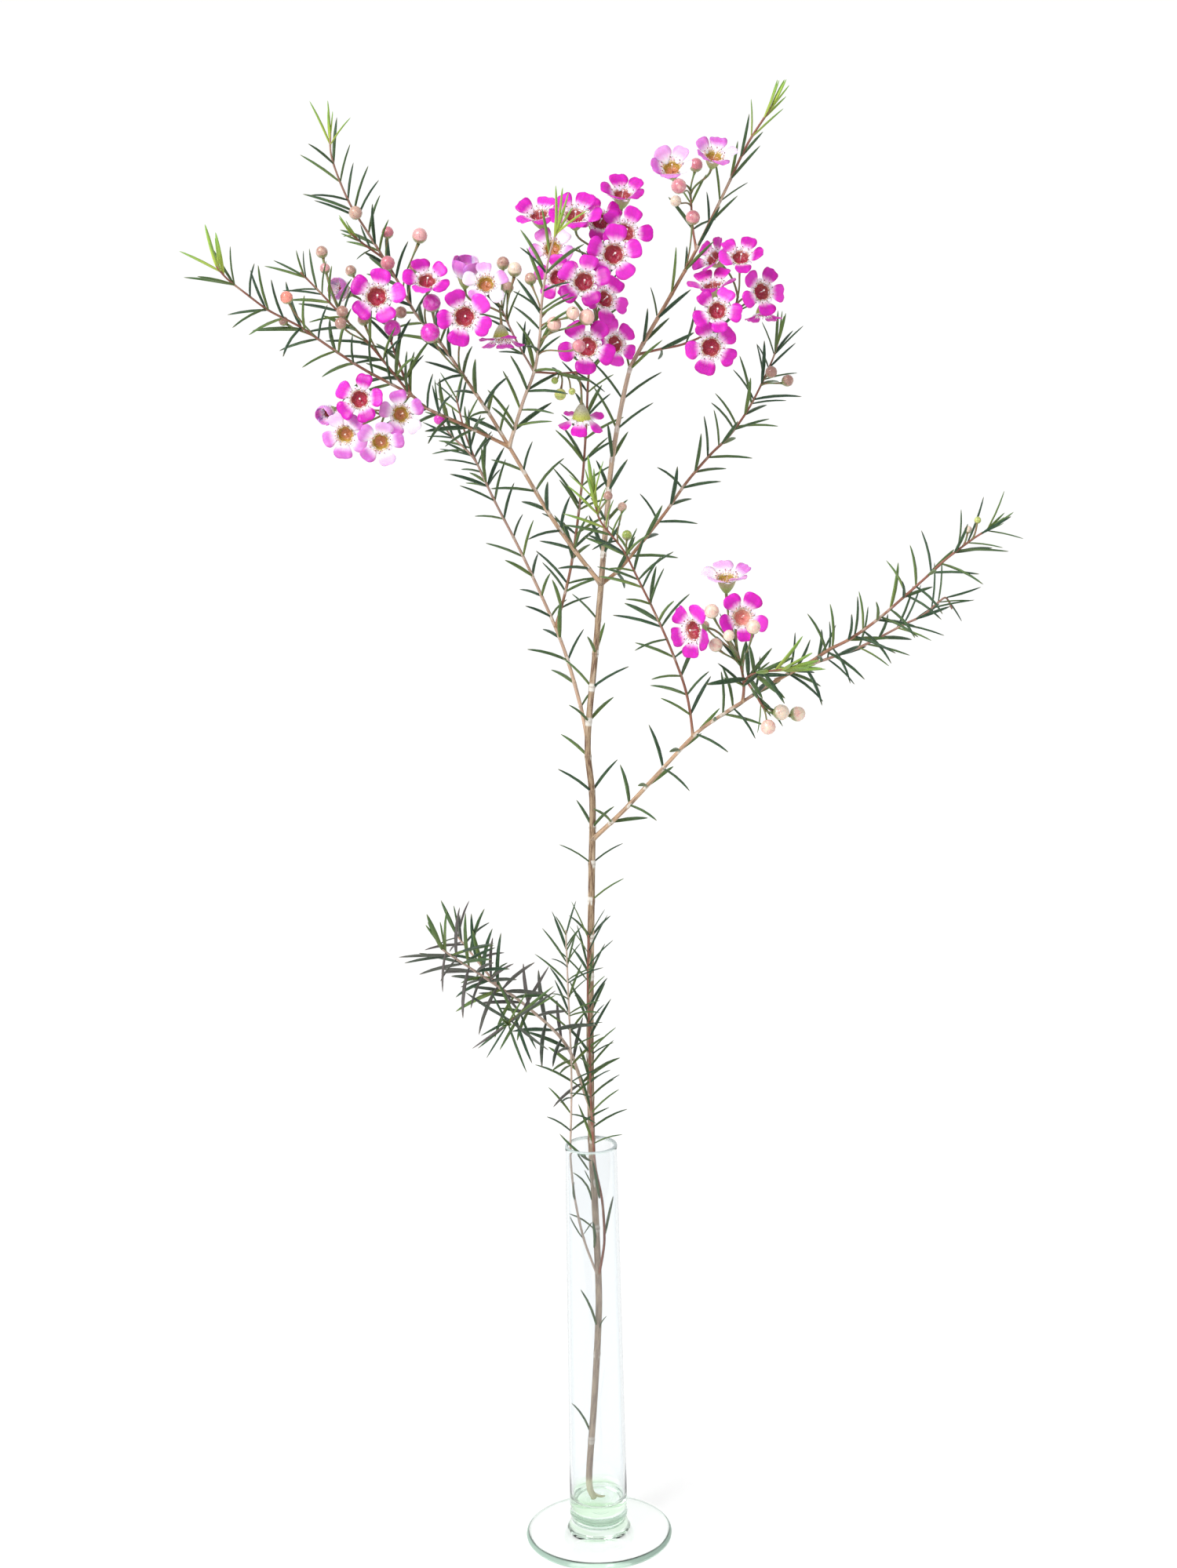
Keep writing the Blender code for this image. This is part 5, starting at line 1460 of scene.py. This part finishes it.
def freshness_of(member, share, draw):
    """How fresh a leaf is: at 1 it is yellow-green, at nought deep green, and below that grey-purple."""
    start, _, _, yellow = FRESH_TIPS.get(member, NO_TIP)
    freshness = FRESH_MOST * draw.random() ** 2
    if draw.random() < DUSKY.get(member, 0):
        freshness = -draw.uniform(*DUSKY_SPREAD)
    if share >= start:
        freshness = yellow * min(1, (share - start) / FRESH_REACH + FRESH_START)
    return freshness


def slenderness(member, height, share):
    """How wide a leaf is, as a share of a broad one's width."""
    slender = SLENDER.get(member, 1)
    if member == "main_stem" and height < SLENDER_BELOW:
        slender = SLENDER_STEM
    return slender * (1 - TIP_SLENDERNESS * share ** 4)


def build_needles(name, members, twigs, leaves, blank):
    """A branch's leaves above the vase's rim and its young tip leaves. The main stem's adds the vase's."""
    needles = []
    draw = random.Random(name)
    for member in members:
        for leaf in leaves[member]:
            line, _, share = leaf
            height = line[0][2]
            if height < VASE_HEIGHT:
                continue
            freshness = freshness_of(member, share, draw)
            needles.append(needle(blank, leaf, freshness, slenderness(member, height, share)))
        if member in FRESH_TIPS:
            _, rise, size, yellow = FRESH_TIPS[member]
            for leaf in tip_leaves(twigs[member], rise, size, draw):
                needles.append(needle(blank, leaf, yellow * draw.uniform(*YOUNG_SPREAD)))
    if name == "main_stem":
        needles += [needle(blank, leaf, VASE_FRESHNESS) for leaf in vase_leaves()]
    dress(gathered(name + "_needles", needles), name, "leaf_green")


def stalk_blank(finish):
    blank = straight_rod("stalk", STALK_SIDES, 2)
    blank.data.materials.append(finish)
    return blank


def stalk(blank, route, end, start_radius, end_radius):
    """A flower's or bud's stalk, which runs on to an end point and widens there into what it bears."""
    route = np.vstack([route, [end]])
    shares = np.linspace(0, 1, len(route))
    radii = start_radius + (end_radius - start_radius) * shares ** 8
    radii[0] = STALK_FLARE * start_radius
    return lay_along(copy_of(blank), route, radii)


def bud_blank(tone, finish):
    """A round bud one in radius, in a shallow green calyx that narrows to its stalk."""
    blank = loft("bud_" + tone, BUD_SIDES, turned_rings(BUD_OUTLINE), BUD_TIP)
    blank.data.materials.append(finish)
    return blank


def bud(blank, centre, looks, radius, number):
    turn = np.array(Vector(looks).to_track_quat("Z", "X").to_matrix())
    copy = copy_of(blank)
    move_points(copy, centre + coordinates(blank) * radius * BUD_SHARE @ turn.T)
    store_same(copy, "tint", random.Random(number).random())
    return copy


def build_buds(name, members, stalks, buds, stalk_form, bud_forms):
    """The flower stalks that grow on a branch, and its buds on stalks of their own, where it has any."""
    carried = []
    for number, (bearer, route) in enumerate(stalks):
        if bearer not in members:
            continue
        if number < len(BLOOMS):
            end = route[-1] + unit(route[-1] - route[-2]) * (GAP + STALK_INTO_CUP)
            carried.append(stalk(stalk_form, route, end, FLOWER_STALK, FLOWER_STALK_END))
        else:
            _, centre, looks, radius, _ = buds[number - len(BLOOMS)]
            clear = np.linalg.norm(route - centre, axis=1) > BUD_STALK_CLEAR * radius
            end = centre - looks * BUD_STALK_STOP * radius
            carried.append(stalk(stalk_form, route[clear], end, BUD_STALK, BUD_STALK_END * radius))
    for number, (bearer, centre, looks, radius, tone) in enumerate(buds):
        if bearer in members:
            carried.append(bud(bud_forms[tone], centre, looks, radius, number))
    if carried:
        dress(gathered(name + "_buds", carried), name, "leaf_green")


def petal_blank(tone):
    """A rounded petal that narrows to its root, flat and straight."""
    rings = []
    for share, width in PETAL_OUTLINE:
        thickness = PETAL_HALF_THICKNESS if share < PETAL_RIM else PETAL_RIM_THICKNESS
        rings.append((share * PETAL_LENGTH, width, thickness))
    blank = loft("petal_" + tone, PETAL_SIDES, rings, PETAL_LENGTH)
    blank.data.materials.append(petal_finish(tone))
    return blank


def petal(blank, angle, stand, draw):
    """A petal in its flower's own frame: it rises along an arc, and wraps round the flower or dishes.

    No two are the same: each rises, twists, crinkles and is notched a little more or less than the next.
    """
    rise, fall, length, width, wrap, dish = stand
    loose = WRAPPED_LOOSENESS if wrap else 1
    rise += loose * draw.uniform(*RISE_RANGE)
    fall += loose * draw.uniform(*FALL_RANGE)
    length *= draw.uniform(*LENGTH_RANGE)
    width *= draw.uniform(*WIDTH_RANGE)
    twist = loose * draw.uniform(*TWIST_RANGE)
    angle += loose * draw.uniform(*TURN_RANGE)
    dish += loose * draw.uniform(*DISH_RANGE)
    crinkle = loose * draw.uniform(*CRINKLE_RANGE)
    notch = loose * draw.uniform(*NOTCH_RANGE)
    phase = draw.uniform(0, math.tau)
    shares = np.linspace(0, 1, PETAL_STEPS + 1)
    slopes = np.radians(rise + (fall - rise) * shares ** BEND_POWER)
    step = length * PETAL_LENGTH / PETAL_STEPS
    out = PETAL_START + np.concatenate([[0], np.cumsum(np.cos(slopes[1:]) * step)])
    up = -PETAL_DROP + np.concatenate([[0], np.cumsum(np.sin(slopes[1:]) * step)])
    local = coordinates(blank)
    share = local[:, 2] / PETAL_LENGTH
    wavering = np.sin(SIDE_WAVES * share + phase + 2 * np.sign(local[:, 0]))
    across = local[:, 0] * width * (1 + SIDE_WAVER * loose * wavering)
    share = share * (1 - NOTCH_DEPTH * notch * share ** 6 * np.exp(-across ** 2))
    slope = np.interp(share, shares, slopes)
    reach = np.interp(share, shares, out)
    height = np.interp(share, shares, up)
    around = angle + wrap * across / np.maximum(np.abs(reach), LEAST_WRAP_REACH)
    level = (1 - wrap) * across
    waves = crinkle * share ** 2 * np.sin(CRINKLE_WAVES * across + phase)
    lift = local[:, 1] + dish * across ** 2 + twist * across * share + waves
    outward = np.column_stack((np.cos(around), np.sin(around), np.zeros(len(around))))
    aside = np.column_stack((-np.sin(around), np.cos(around), np.zeros(len(around))))
    upward = np.array((0, 0, 1))
    normal = -np.sin(slope)[:, None] * outward + np.cos(slope)[:, None] * upward
    middle = reach[:, None] * outward + height[:, None] * upward
    copy = copy_of(blank)
    move_points(copy, middle + level[:, None] * aside + lift[:, None] * normal)
    store_same(copy, "tint", draw.random())
    return copy


def set_upright(form, angle, foot, lean):
    """Moves a form to a foot beside the flower's axis, and leans it outward by so many radians."""
    reach, height = foot
    turn = Matrix.Rotation(angle, 3, "Z") @ Matrix.Rotation(lean, 3, "Y")
    where = np.array((reach * math.cos(angle), reach * math.sin(angle), height))
    move_points(form, coordinates(form) @ np.array(turn).T + where)
    return form


def calyx_cup(name, calyx, disc):
    """A flower's cup, with the calyx finish outside and the disc finish in its bowl."""
    cup = loft(name, CUP_SIDES, turned_rings(CUP_OUTSIDE + CUP_INSIDE), BOWL_MIDDLE)
    cup.data.materials.append(calyx)
    cup.data.materials.append(disc)
    places = coordinates(cup)
    spread = np.hypot(places[:, 0], places[:, 1])
    for face in cup.data.polygons:
        points = list(face.vertices)
        inward = spread[points].mean() < BOWL_SPREAD and spread[points].max() < BOWL_EDGE
        in_bowl = inward and places[points, 2].min() > BOWL_LOWEST
        on_wall = spread[points].mean() > WALL_SPREAD and places[points, 2].mean() < WALL_TOP
        face.material_index = int(in_bowl and not on_wall)
    return cup


def stamens(draw, fringe, anthers, leans):
    """A ring of spikes round the bowl, with an anther beside every other one."""
    spike = loft("spike", 4, SPIKE_RINGS, SPIKE_TIP)
    spike.data.materials.append(fringe)
    anther = loft("anther", 5, ANTHER_RINGS, ANTHER_TIP)
    anther.data.materials.append(anthers)
    parts = []
    for number in range(STAMENS):
        angle = math.tau * (number + draw.uniform(-STAMEN_STRAY, STAMEN_STRAY)) / STAMENS
        lean = draw.uniform(*leans)
        parts.append(set_upright(copy_of(spike), angle, SPIKE_FOOT, lean))
        if number % 2:
            reach, height = ANTHER_FOOT
            top = (reach + ANTHER_LENGTH * math.sin(lean), height + ANTHER_LENGTH * math.cos(lean))
            parts.append(set_upright(copy_of(anther), angle, top, lean))
    discard(spike, anther)
    return parts


def sepals(finish):
    sepal = loft("sepal", 6, SEPAL_RINGS, SEPAL_TIP)
    sepal.data.materials.append(finish)
    angles = [math.tau * (number + 0.5) / PETALS for number in range(PETALS)]
    parts = [set_upright(copy_of(sepal), angle, SEPAL_FOOT, SEPAL_LEAN) for angle in angles]
    discard(sepal)
    return parts


def style(finish):
    """The thin style that stands in the bowl, a little bent, with a rounded tip."""
    form = loft("style", 6, STYLE_RINGS, STYLE_TIP)
    form.data.materials.append(finish)
    points = coordinates(form)
    foot = STYLE_RINGS[0][0]
    points[:, 0] += STYLE_BEND * (points[:, 2] - foot) ** 2 / 4
    move_points(form, points)
    return form


def build_crowns():
    """The middle of each kind of flower: its calyx cup and bowl, stamens, small sepals and style."""
    discs = {tone: disc_finish(tone) for tone in DISC_TONES}
    calyces = {tone: calyx_finish(tone) for tone in CALYX_TONES}
    soft = {tone: soft_finish(tone) for tone in SOFT_TONES}
    crowns = {}
    for kind, (disc, calyx, fringe, leans) in CROWNS.items():
        name = "crown_" + kind
        parts = [calyx_cup(name, calyces[calyx], discs[disc])]
        parts += stamens(random.Random(name), soft[fringe], soft["anther_brown"], leans)
        parts += sepals(soft["sepal_white"])
        parts.append(style(soft[fringe]))
        crowns[kind] = gathered(name, parts)
    return crowns


def crown_kind(number, tone):
    """The kind of middle that a flower has."""
    if number == SALMON:
        return "salmon"
    if number in HANGING:
        return "hanging"
    return "half_open" if number in BALL_STANDS else tone


def build_flower(number, place_of_flower, facts, crowns, petals):
    """One whole flower, turned to look where it does."""
    mouth, looks, scale = place_of_flower
    _, _, _, spin, _, form, tone, *_ = facts
    right = unit(np.cross((0, 0, 1), looks))
    axes = np.column_stack((right, np.cross(looks, right), looks))
    draw = random.Random(number)
    if number in HANGING:
        form = "hanging"
    rise, fall, *rest = PETAL_STANDS[BALL_STANDS.get(number, form)]
    angle = math.radians(spin)
    middle = copy_of(crowns[crown_kind(number, tone)])
    turn = np.array(Matrix.Rotation(angle, 3, "Z"))
    move_points(middle, coordinates(middle) @ turn.T)
    parts = [middle]
    for k in range(PETALS):
        around = angle + math.tau * k / PETALS
        lift = UPRIGHT.get(number, 0) - HANGING.get(number, 0) * math.sin(around)
        parts.append(petal(petals[tone], around, (rise + lift, fall + lift, *rest), draw))
    whole = gathered(f"flower_{number:02d}", parts)
    scale *= SWOLLEN.get(number, 1)
    move_points(whole, mouth + coordinates(whole) * scale @ axes.T)
    dress(whole, f"bloom_{number:02d}", "petal_" + tone)


def build_vase(finish):
    """A thin disc foot, a solid plug in three soft rings, and a long tapered tube with a rounded lip."""
    outside = [(TUBE_RADIUS - TUBE_TAPER * share, PLUG_TOP + TUBE_LENGTH * share)
               for share in np.linspace(0.02, 1, TUBE_RINGS)]
    inside = [(outer - WALL, height) for outer, height in outside[::-1]]
    outline = [*FOOT_OUTLINE, *PLUG_OUTLINE, *outside, *LIP_OUTLINE, *inside, *FLOOR_OUTLINE]
    vase = loft("glass_vase", VASE_SIDES, turned_rings(outline), FLOOR_MIDDLE)
    points = coordinates(vase)
    spread = np.hypot(points[:, 0], points[:, 1])
    around = np.arctan2(points[:, 1], points[:, 0])
    high = np.clip((points[:, 2] - SAG_START) / (VASE_HEIGHT - SAG_START), 0, 1) ** 2
    points[:, 2] += high * (RIM_SAG * np.sin(around + 0.6) - RIM_SAG)
    ringed = np.clip(1 - np.abs(points[:, 2] - RINGS_MIDDLE) / RINGS_REACH, 0, 1) * (spread < RINGS_EDGE)
    points[:, 2] += ringed * RING_WAVER * np.sin(2 * around + 0.8)
    move_points(vase, points)
    vase.data.materials.append(finish)
    dress(vase, "bud_vase", "clear_glass")


def glass_finish():
    """Clear blown glass: a cool tint in the tube with painted shade where it turns away from the eye, wavy
    green bands in the plug, and soft pale edges: a painted grey shade on the lip, and the thick glass's
    own green painted on the foot's edge.
    """
    glass = Finish("clear_glass", Roughness=0.015, IOR=1.45, Transmission_Weight=1.0)
    depth = {"Color": GLASS_DEPTH, "Density": GLASS_DENSITY}
    glass.give(glass.output.inputs["Volume"], glass.add("ShaderNodeVolumeAbsorption", inputs=depth))
    where = glass.position()
    height = glass.part(where, "Z")
    spread = glass.length(glass.stretched(where, (1, 1, 0)))
    in_rings = height.between(0.0045, 0.0065) * (1 - height.between(0.0165, 0.023))
    in_plug = in_rings * (1 - spread.between(0.012, 0.014))
    on_tube = height.between(0.017, 0.024)
    tinted = glass.mix(on_tube, GLASS_FOOT, GLASS_TUBE)
    # Painted shade: the tube's colour darkens towards its edges, where it turns away from the eye.
    turning = glass.add("ShaderNodeLayerWeight", inputs={"Blend": 0.5}, output="Facing")
    painted_edges = glass.mix(turning.between(0.45, 0.95) * on_tube * 0.75, tinted, GLASS_EDGE_SHADE)
    waves = glass.noise(glass.stretched(where, (45, 45, 330)), 1.0, 1.5)
    glass.set("Base Color", glass.mix(waves.between(0.44, 0.56) * in_plug, painted_edges, GLASS_BANDS))
    # Painted shade and tint: a soft grey surface over the lip paints its shade line, and a soft green one
    # over the foot's edge paints the thick glass's own green there, in place of the shading of the light
    # trapped in it.
    foot_edge = spread.between(0.0280, 0.0290) * 0.5
    lip = height.between(0.1632, 0.1645) * 0.7
    glass.veil(foot_edge.math("MAXIMUM", lip), glass.mix(lip, FOOT_EDGE_PAINTED_GREEN, LIP_PAINTED_SHADE))
    ripples = glass.noise(glass.stretched(where, (60, 60, 14)), 1.0, 1.0)
    glass.bump(ripples, 0.05, 0.001)
    return glass.material


def bark_finish():
    """Red-brown skin on young twigs and streaked tan bark on old ones.

    There are dark knots, grey flakes beside them, bleached stretches, and bare wood at the cut end.
    """
    bark = Finish("waxflower_bark", Roughness=0.62, Specular_IOR_Level=0.35)
    age = bark.attribute("age")
    knot = bark.attribute("knot")
    grain = bark.grain()
    streaks = bark.noise(bark.stretched(grain, (1.6, 1.6, 0.16)), 1.0, 4.0, 0.6)
    patches = bark.noise(bark.stretched(grain, (0.5, 0.5, 0.07)), 1.0, 2.0)
    skin = bark.ramp((age + 0.5 * (patches - 0.5)).between(0.0, 1.5), BARK_SKIN)
    streaked = bark.mix(streaks.between(0.42, 0.66) * (0.38 + 0.5 * age), skin, BARK_STREAK)
    pale = bark.mix(patches.between(0.55, 0.70) * 0.6, streaked, BARK_PALE)
    flaked = bark.mix(knot.between(0.02, 0.4) * patches.between(0.46, 0.54) * age, pale, BARK_FLAKE)
    knotted = bark.mix(knot.between(0.55, 0.95) * 0.6, flaked, BARK_KNOT)
    washed = bark.mix(bark.attribute("bleached"), knotted, BARK_BLEACHED)
    wood = bark.mix(streaks.between(0.3, 0.7), WOOD_GREEN, WOOD_PALE)
    bark.set("Base Color", bark.mix(bark.attribute("peeled"), washed, wood))
    bark.bump(streaks + 0.4 * patches, 0.5, 0.0003)
    return bark.material


def needle_finish():
    """Deep green blades with a painted highlight along their edges and a tan point.

    The tint is how fresh a leaf is: up to 1 it turns yellow-green, and below nought grey-purple.
    """
    leaf = Finish("needle_green", Roughness=0.42, Specular_IOR_Level=0.25)
    grain = leaf.grain()
    fresh = leaf.tint()
    across = leaf.part(grain, "X").math("ABSOLUTE")
    along = leaf.part(grain, "Z")
    mottle = leaf.noise(leaf.stretched(leaf.position(), (900, 900, 900)), 1.0, 3.0)
    green = leaf.mix(mottle.between(0.3, 0.7), LEAF_DEEP, LEAF_LIGHT)
    # Painted highlight: the blade is paler towards its edges.
    painted_edges = leaf.mix(across.between(0.65, 1.0) * 0.5, green, LEAF_EDGE_HIGHLIGHT)
    tipped = leaf.mix(along.between(0.86, 1.0) * 0.5, painted_edges, LEAF_POINT)
    young = leaf.mix(along.between(0.0, 1.0), YOUNG_ROOT, YOUNG_TIP)
    dusky = leaf.mix(fresh * -1, tipped, LEAF_DUSKY)
    leaf.set("Base Color", leaf.mix(fresh, dusky, young))
    leaf.bump(mottle, 0.25, 0.0002)
    return leaf.material


def stalk_finish():
    """Green stalks mottled with brown along their length."""
    skin = Finish("stalk_green", Roughness=0.5)
    mottle = skin.noise(skin.stretched(skin.position(), (700, 700, 260)), 1.0, 3.0)
    skin.set("Base Color", skin.mix(mottle.between(0.35, 0.65), STALK_GREEN, STALK_BROWN))
    skin.bump(mottle, 0.3, 0.0002)
    return skin.material


def petal_finish(tone):
    """A waxy petal: pale at its root, full colour beyond, with fine veins that fan out along it."""
    deep, bright, base, paling, fading = PETAL_TONES[tone]
    wax = Finish("petal_" + tone, Roughness=0.4, Specular_IOR_Level=0.35, Subsurface_Weight=0.25,
                 Subsurface_Scale=0.002, Coat_Weight=0.05, Coat_Roughness=0.3)
    grain = wax.grain()
    along = wax.part(grain, "Z") / PETAL_LENGTH
    cloud = wax.noise(wax.stretched(grain, (0.35, 0.35, 0.35)), 1.0, 2.0)
    veins = wax.noise(wax.stretched(grain, (3.2, 0.4, 0.22)), 1.0, 2.0)
    richness = (wax.tint() * 0.45 + cloud * 0.8 - 0.1).between(0.1, 0.9)
    colour = wax.mix(richness, deep, bright)
    veined = wax.mix(veins.between(0.55, 0.75) * 0.35, colour, deep)
    fullness = (along + 0.22 * (cloud - 0.5) + 0.12 * (veins - 0.5)).between(*paling)
    wax.set("Base Color", wax.mix(fullness * (1 - fading * wax.tint() ** 3), base, veined))
    wax.bump(veins + 0.6 * cloud, 0.25, 0.0004)
    return wax.material


def disc_finish(tone):
    """The wet, glossy disc inside the cup, paler at its edge, bumped with beads of nectar and flecked with
    painted highlights.
    """
    middle, ring, edge = DISC_TONES[tone]
    disc = Finish("disc_" + tone, Roughness=0.22, Specular_IOR_Level=0.35,
                  Coat_Weight=0.25, Coat_Roughness=0.08)
    grain = disc.grain()
    spread = disc.length(disc.stretched(grain, (1, 1, 0)))
    beads_and_glints = disc.noise(grain, 1.3, 3.0, 0.6)
    body = disc.mix((spread / 3.6 + 0.5 * (beads_and_glints - 0.5)).between(0.45, 0.95), middle, ring)
    rimmed = disc.mix(spread.between(3.2, 3.6), body, edge)
    # Painted highlights: pale specks in the edge colour stand for glints on the wet disc.
    disc.set("Base Color", disc.mix(beads_and_glints.between(0.62, 0.72) * 0.6, rimmed, edge))
    disc.bump(beads_and_glints, 0.9, 0.0008)
    return disc.material


def calyx_finish(tone):
    """The rough outside of the cup, of one colour at its foot and another at its mouth, and speckled."""
    low, high, speck = CALYX_TONES[tone]
    calyx = Finish("calyx_" + tone, Roughness=0.45, Specular_IOR_Level=0.4)
    grain = calyx.grain()
    height = calyx.part(grain, "Z")
    dots = calyx.noise(grain, 2.4, 2.0)
    body = calyx.mix((height + 2.0 * (dots - 0.5)).between(-5.5, -0.8), low, high)
    calyx.set("Base Color", calyx.mix(dots.between(0.58, 0.66) * 0.6, body, speck))
    calyx.bump(dots, 0.6, 0.0004)
    return calyx.material


def soft_finish(tone):
    """Small soft parts: two close colours in a fine mottle."""
    colour, shade = SOFT_TONES[tone]
    soft = Finish(tone, Roughness=0.5, Subsurface_Weight=0.2, Subsurface_Scale=0.001)
    mottle = soft.noise(soft.stretched(soft.position(), (800, 800, 800)), 1.0, 2.0)
    soft.set("Base Color", soft.mix(mottle.between(0.4, 0.7), colour, shade))
    soft.bump(mottle, 0.2, 0.0002)
    return soft.material


def bud_finish(tone):
    """A glossy bud: its petals overlap in five lines, and its calyx is green and dotted."""
    main, second = BUD_TONES[tone]
    wax = Finish("bud_" + tone, Roughness=0.26, Specular_IOR_Level=0.55,
                 Coat_Weight=0.25, Coat_Roughness=0.12, Subsurface_Weight=0.2, Subsurface_Scale=0.001)
    grain = wax.grain()
    height = wax.part(grain, "Z")
    around = wax.part(grain, "Y").math("ARCTAN2", wax.part(grain, "X"))
    mottle = wax.noise(grain, 1.6, 3.0)
    dots = wax.noise(grain, 5.0, 2.0)
    petal_share = (around * (PETALS / math.tau) + 0.35 * height).math("FRACT")
    seam = 1 - (petal_share - 0.5).math("ABSOLUTE").between(0.0, 0.09)
    cap = wax.mix((mottle + 0.5 * (wax.tint() - 0.5)).between(0.35, 0.65), main, second)
    seamed = wax.mix(seam * height.between(0.1, 0.4) * 0.32, cap, BUD_SEAM)
    calyx = wax.mix(dots.between(0.5, 0.62), BUD_CALYX, BUD_DOTS)
    border = (height + 0.22 * (mottle - 0.5)).between(-0.35, 0.12)
    wax.set("Base Color", wax.mix(border, calyx, seamed))
    wax.bump(dots * 0.5 + mottle - seam * 0.6, 0.3, 0.0004)
    return wax.material


def build_floor():
    """A floor of white paper, which glows most far away from the vase and right under it, where the glow
    is a painted pool of light from the glass foot.
    """
    bpy.ops.object.select_all(action="DESELECT")
    bpy.ops.mesh.primitive_plane_add(size=FLOOR_SIZE, location=(0, 0, 0))
    floor = bpy.context.object
    floor.name = "floor"
    paper = Finish("white_paper", Roughness=0.9, Specular_IOR_Level=0.1, Emission_Strength=FLOOR_GLOW)
    where = paper.position()
    fibre = paper.noise(paper.stretched(where, (300, 300, 300)), 1.0, 2.0)
    paper.set("Base Color", paper.mix(fibre, *FLOOR_TONES))
    spread = paper.length(where)
    # Painted light: the floor glows brightest in a pool right under the vase, where light through the
    # glass foot would fall.
    painted_pool_under_vase = 1 - spread.between(*VASE_LIGHT_POOL_REACH)
    bright = spread.between(*FAR_GLOW_REACH).math("MAXIMUM", painted_pool_under_vase)
    paper.set("Emission Color", paper.mix(bright, NEAR_GLOW, FULL_GLOW))
    floor.data.materials.append(paper.material)


def build_surround():
    """A white surround, which is brighter behind the object and wherever the eye sees it directly."""
    world = bpy.data.worlds.new("studio")
    bpy.context.scene.world = world
    world.use_nodes = True
    nodes = Nodes(world.node_tree)
    background = world.node_tree.nodes["Background"]
    way = nodes.add("ShaderNodeTexCoord", output="Generated")
    strength = nodes.part(way, "Y").between(*BACK_TURN, SIDE_LIGHT, BACK_LIGHT)
    seen = nodes.add("ShaderNodeLightPath", output="Is Camera Ray")
    shown = nodes.add("ShaderNodeMix", inputs={0: seen, 2: strength, 3: BACK_LIGHT})
    nodes.give(background.inputs["Strength"], shown)
    nodes.give(background.inputs["Color"], (1, 1, 1))


def build_lamp():
    """One soft square lamp from the upper left, in front."""
    bpy.ops.object.light_add(type="AREA", location=LAMP_PLACE)
    lamp = bpy.context.object
    lamp.data.shape = "SQUARE"
    lamp.data.size = LAMP_SIZE
    lamp.data.energy = LAMP_POWER
    aim = Vector(LAMP_AIM) - lamp.location
    lamp.rotation_euler = aim.to_track_quat("-Z", "Y").to_euler()


def build_camera():
    """The eye that the plant's places are read from."""
    bpy.ops.object.camera_add(location=(EYE_ACROSS * MM, -EYE_DISTANCE * MM, EYE_HEIGHT * MM))
    eye = bpy.context.object
    up = np.array((0, math.sin(EYE_PITCH), math.cos(EYE_PITCH)))
    right = np.array((1, 0, 0))
    across = math.cos(EYE_ROLL) * right - math.sin(EYE_ROLL) * up
    above = math.sin(EYE_ROLL) * right + math.cos(EYE_ROLL) * up
    turn = Matrix(np.column_stack((across, above, np.cross(across, above))))
    eye.rotation_euler = turn.to_euler()
    eye.data.sensor_fit = "VERTICAL"
    eye.data.sensor_height = EYE_SENSOR
    eye.data.lens = EYE_SENSOR * EYE_FOCAL / PICTURE_HEIGHT
    eye.data.clip_start = EYE_NEAREST
    bpy.context.scene.camera = eye


def build_plant():
    """Each leafy stem in up to three pieces, of bark, needles and stalks, and each flower in one."""
    twigs, flowers, stalks, buds, leaves = plan_plant()
    bark = bark_finish()
    bud_forms = {tone: bud_blank(tone, bud_finish(tone)) for tone in BUD_TONES}
    needle_form = needle_blank(needle_finish())
    stalk_form = stalk_blank(stalk_finish())
    for name, members in LEAFY_STEMS.items():
        build_bark(name, members, twigs, leaves, bark)
        build_needles(name, members, twigs, leaves, needle_form)
        build_buds(name, members, stalks, buds, stalk_form, bud_forms)
    crowns = build_crowns()
    petals = {tone: petal_blank(tone) for tone in PETAL_TONES}
    for number, (where, facts) in enumerate(zip(flowers, BLOOMS), 1):
        build_flower(number, where, facts, crowns, petals)
    discard(needle_form, stalk_form, *bud_forms.values(), *crowns.values(), *petals.values())


bpy.context.scene.view_settings.view_transform = "Standard"
build_camera()
build_floor()
build_surround()
build_lamp()
build_vase(glass_finish())
build_plant()
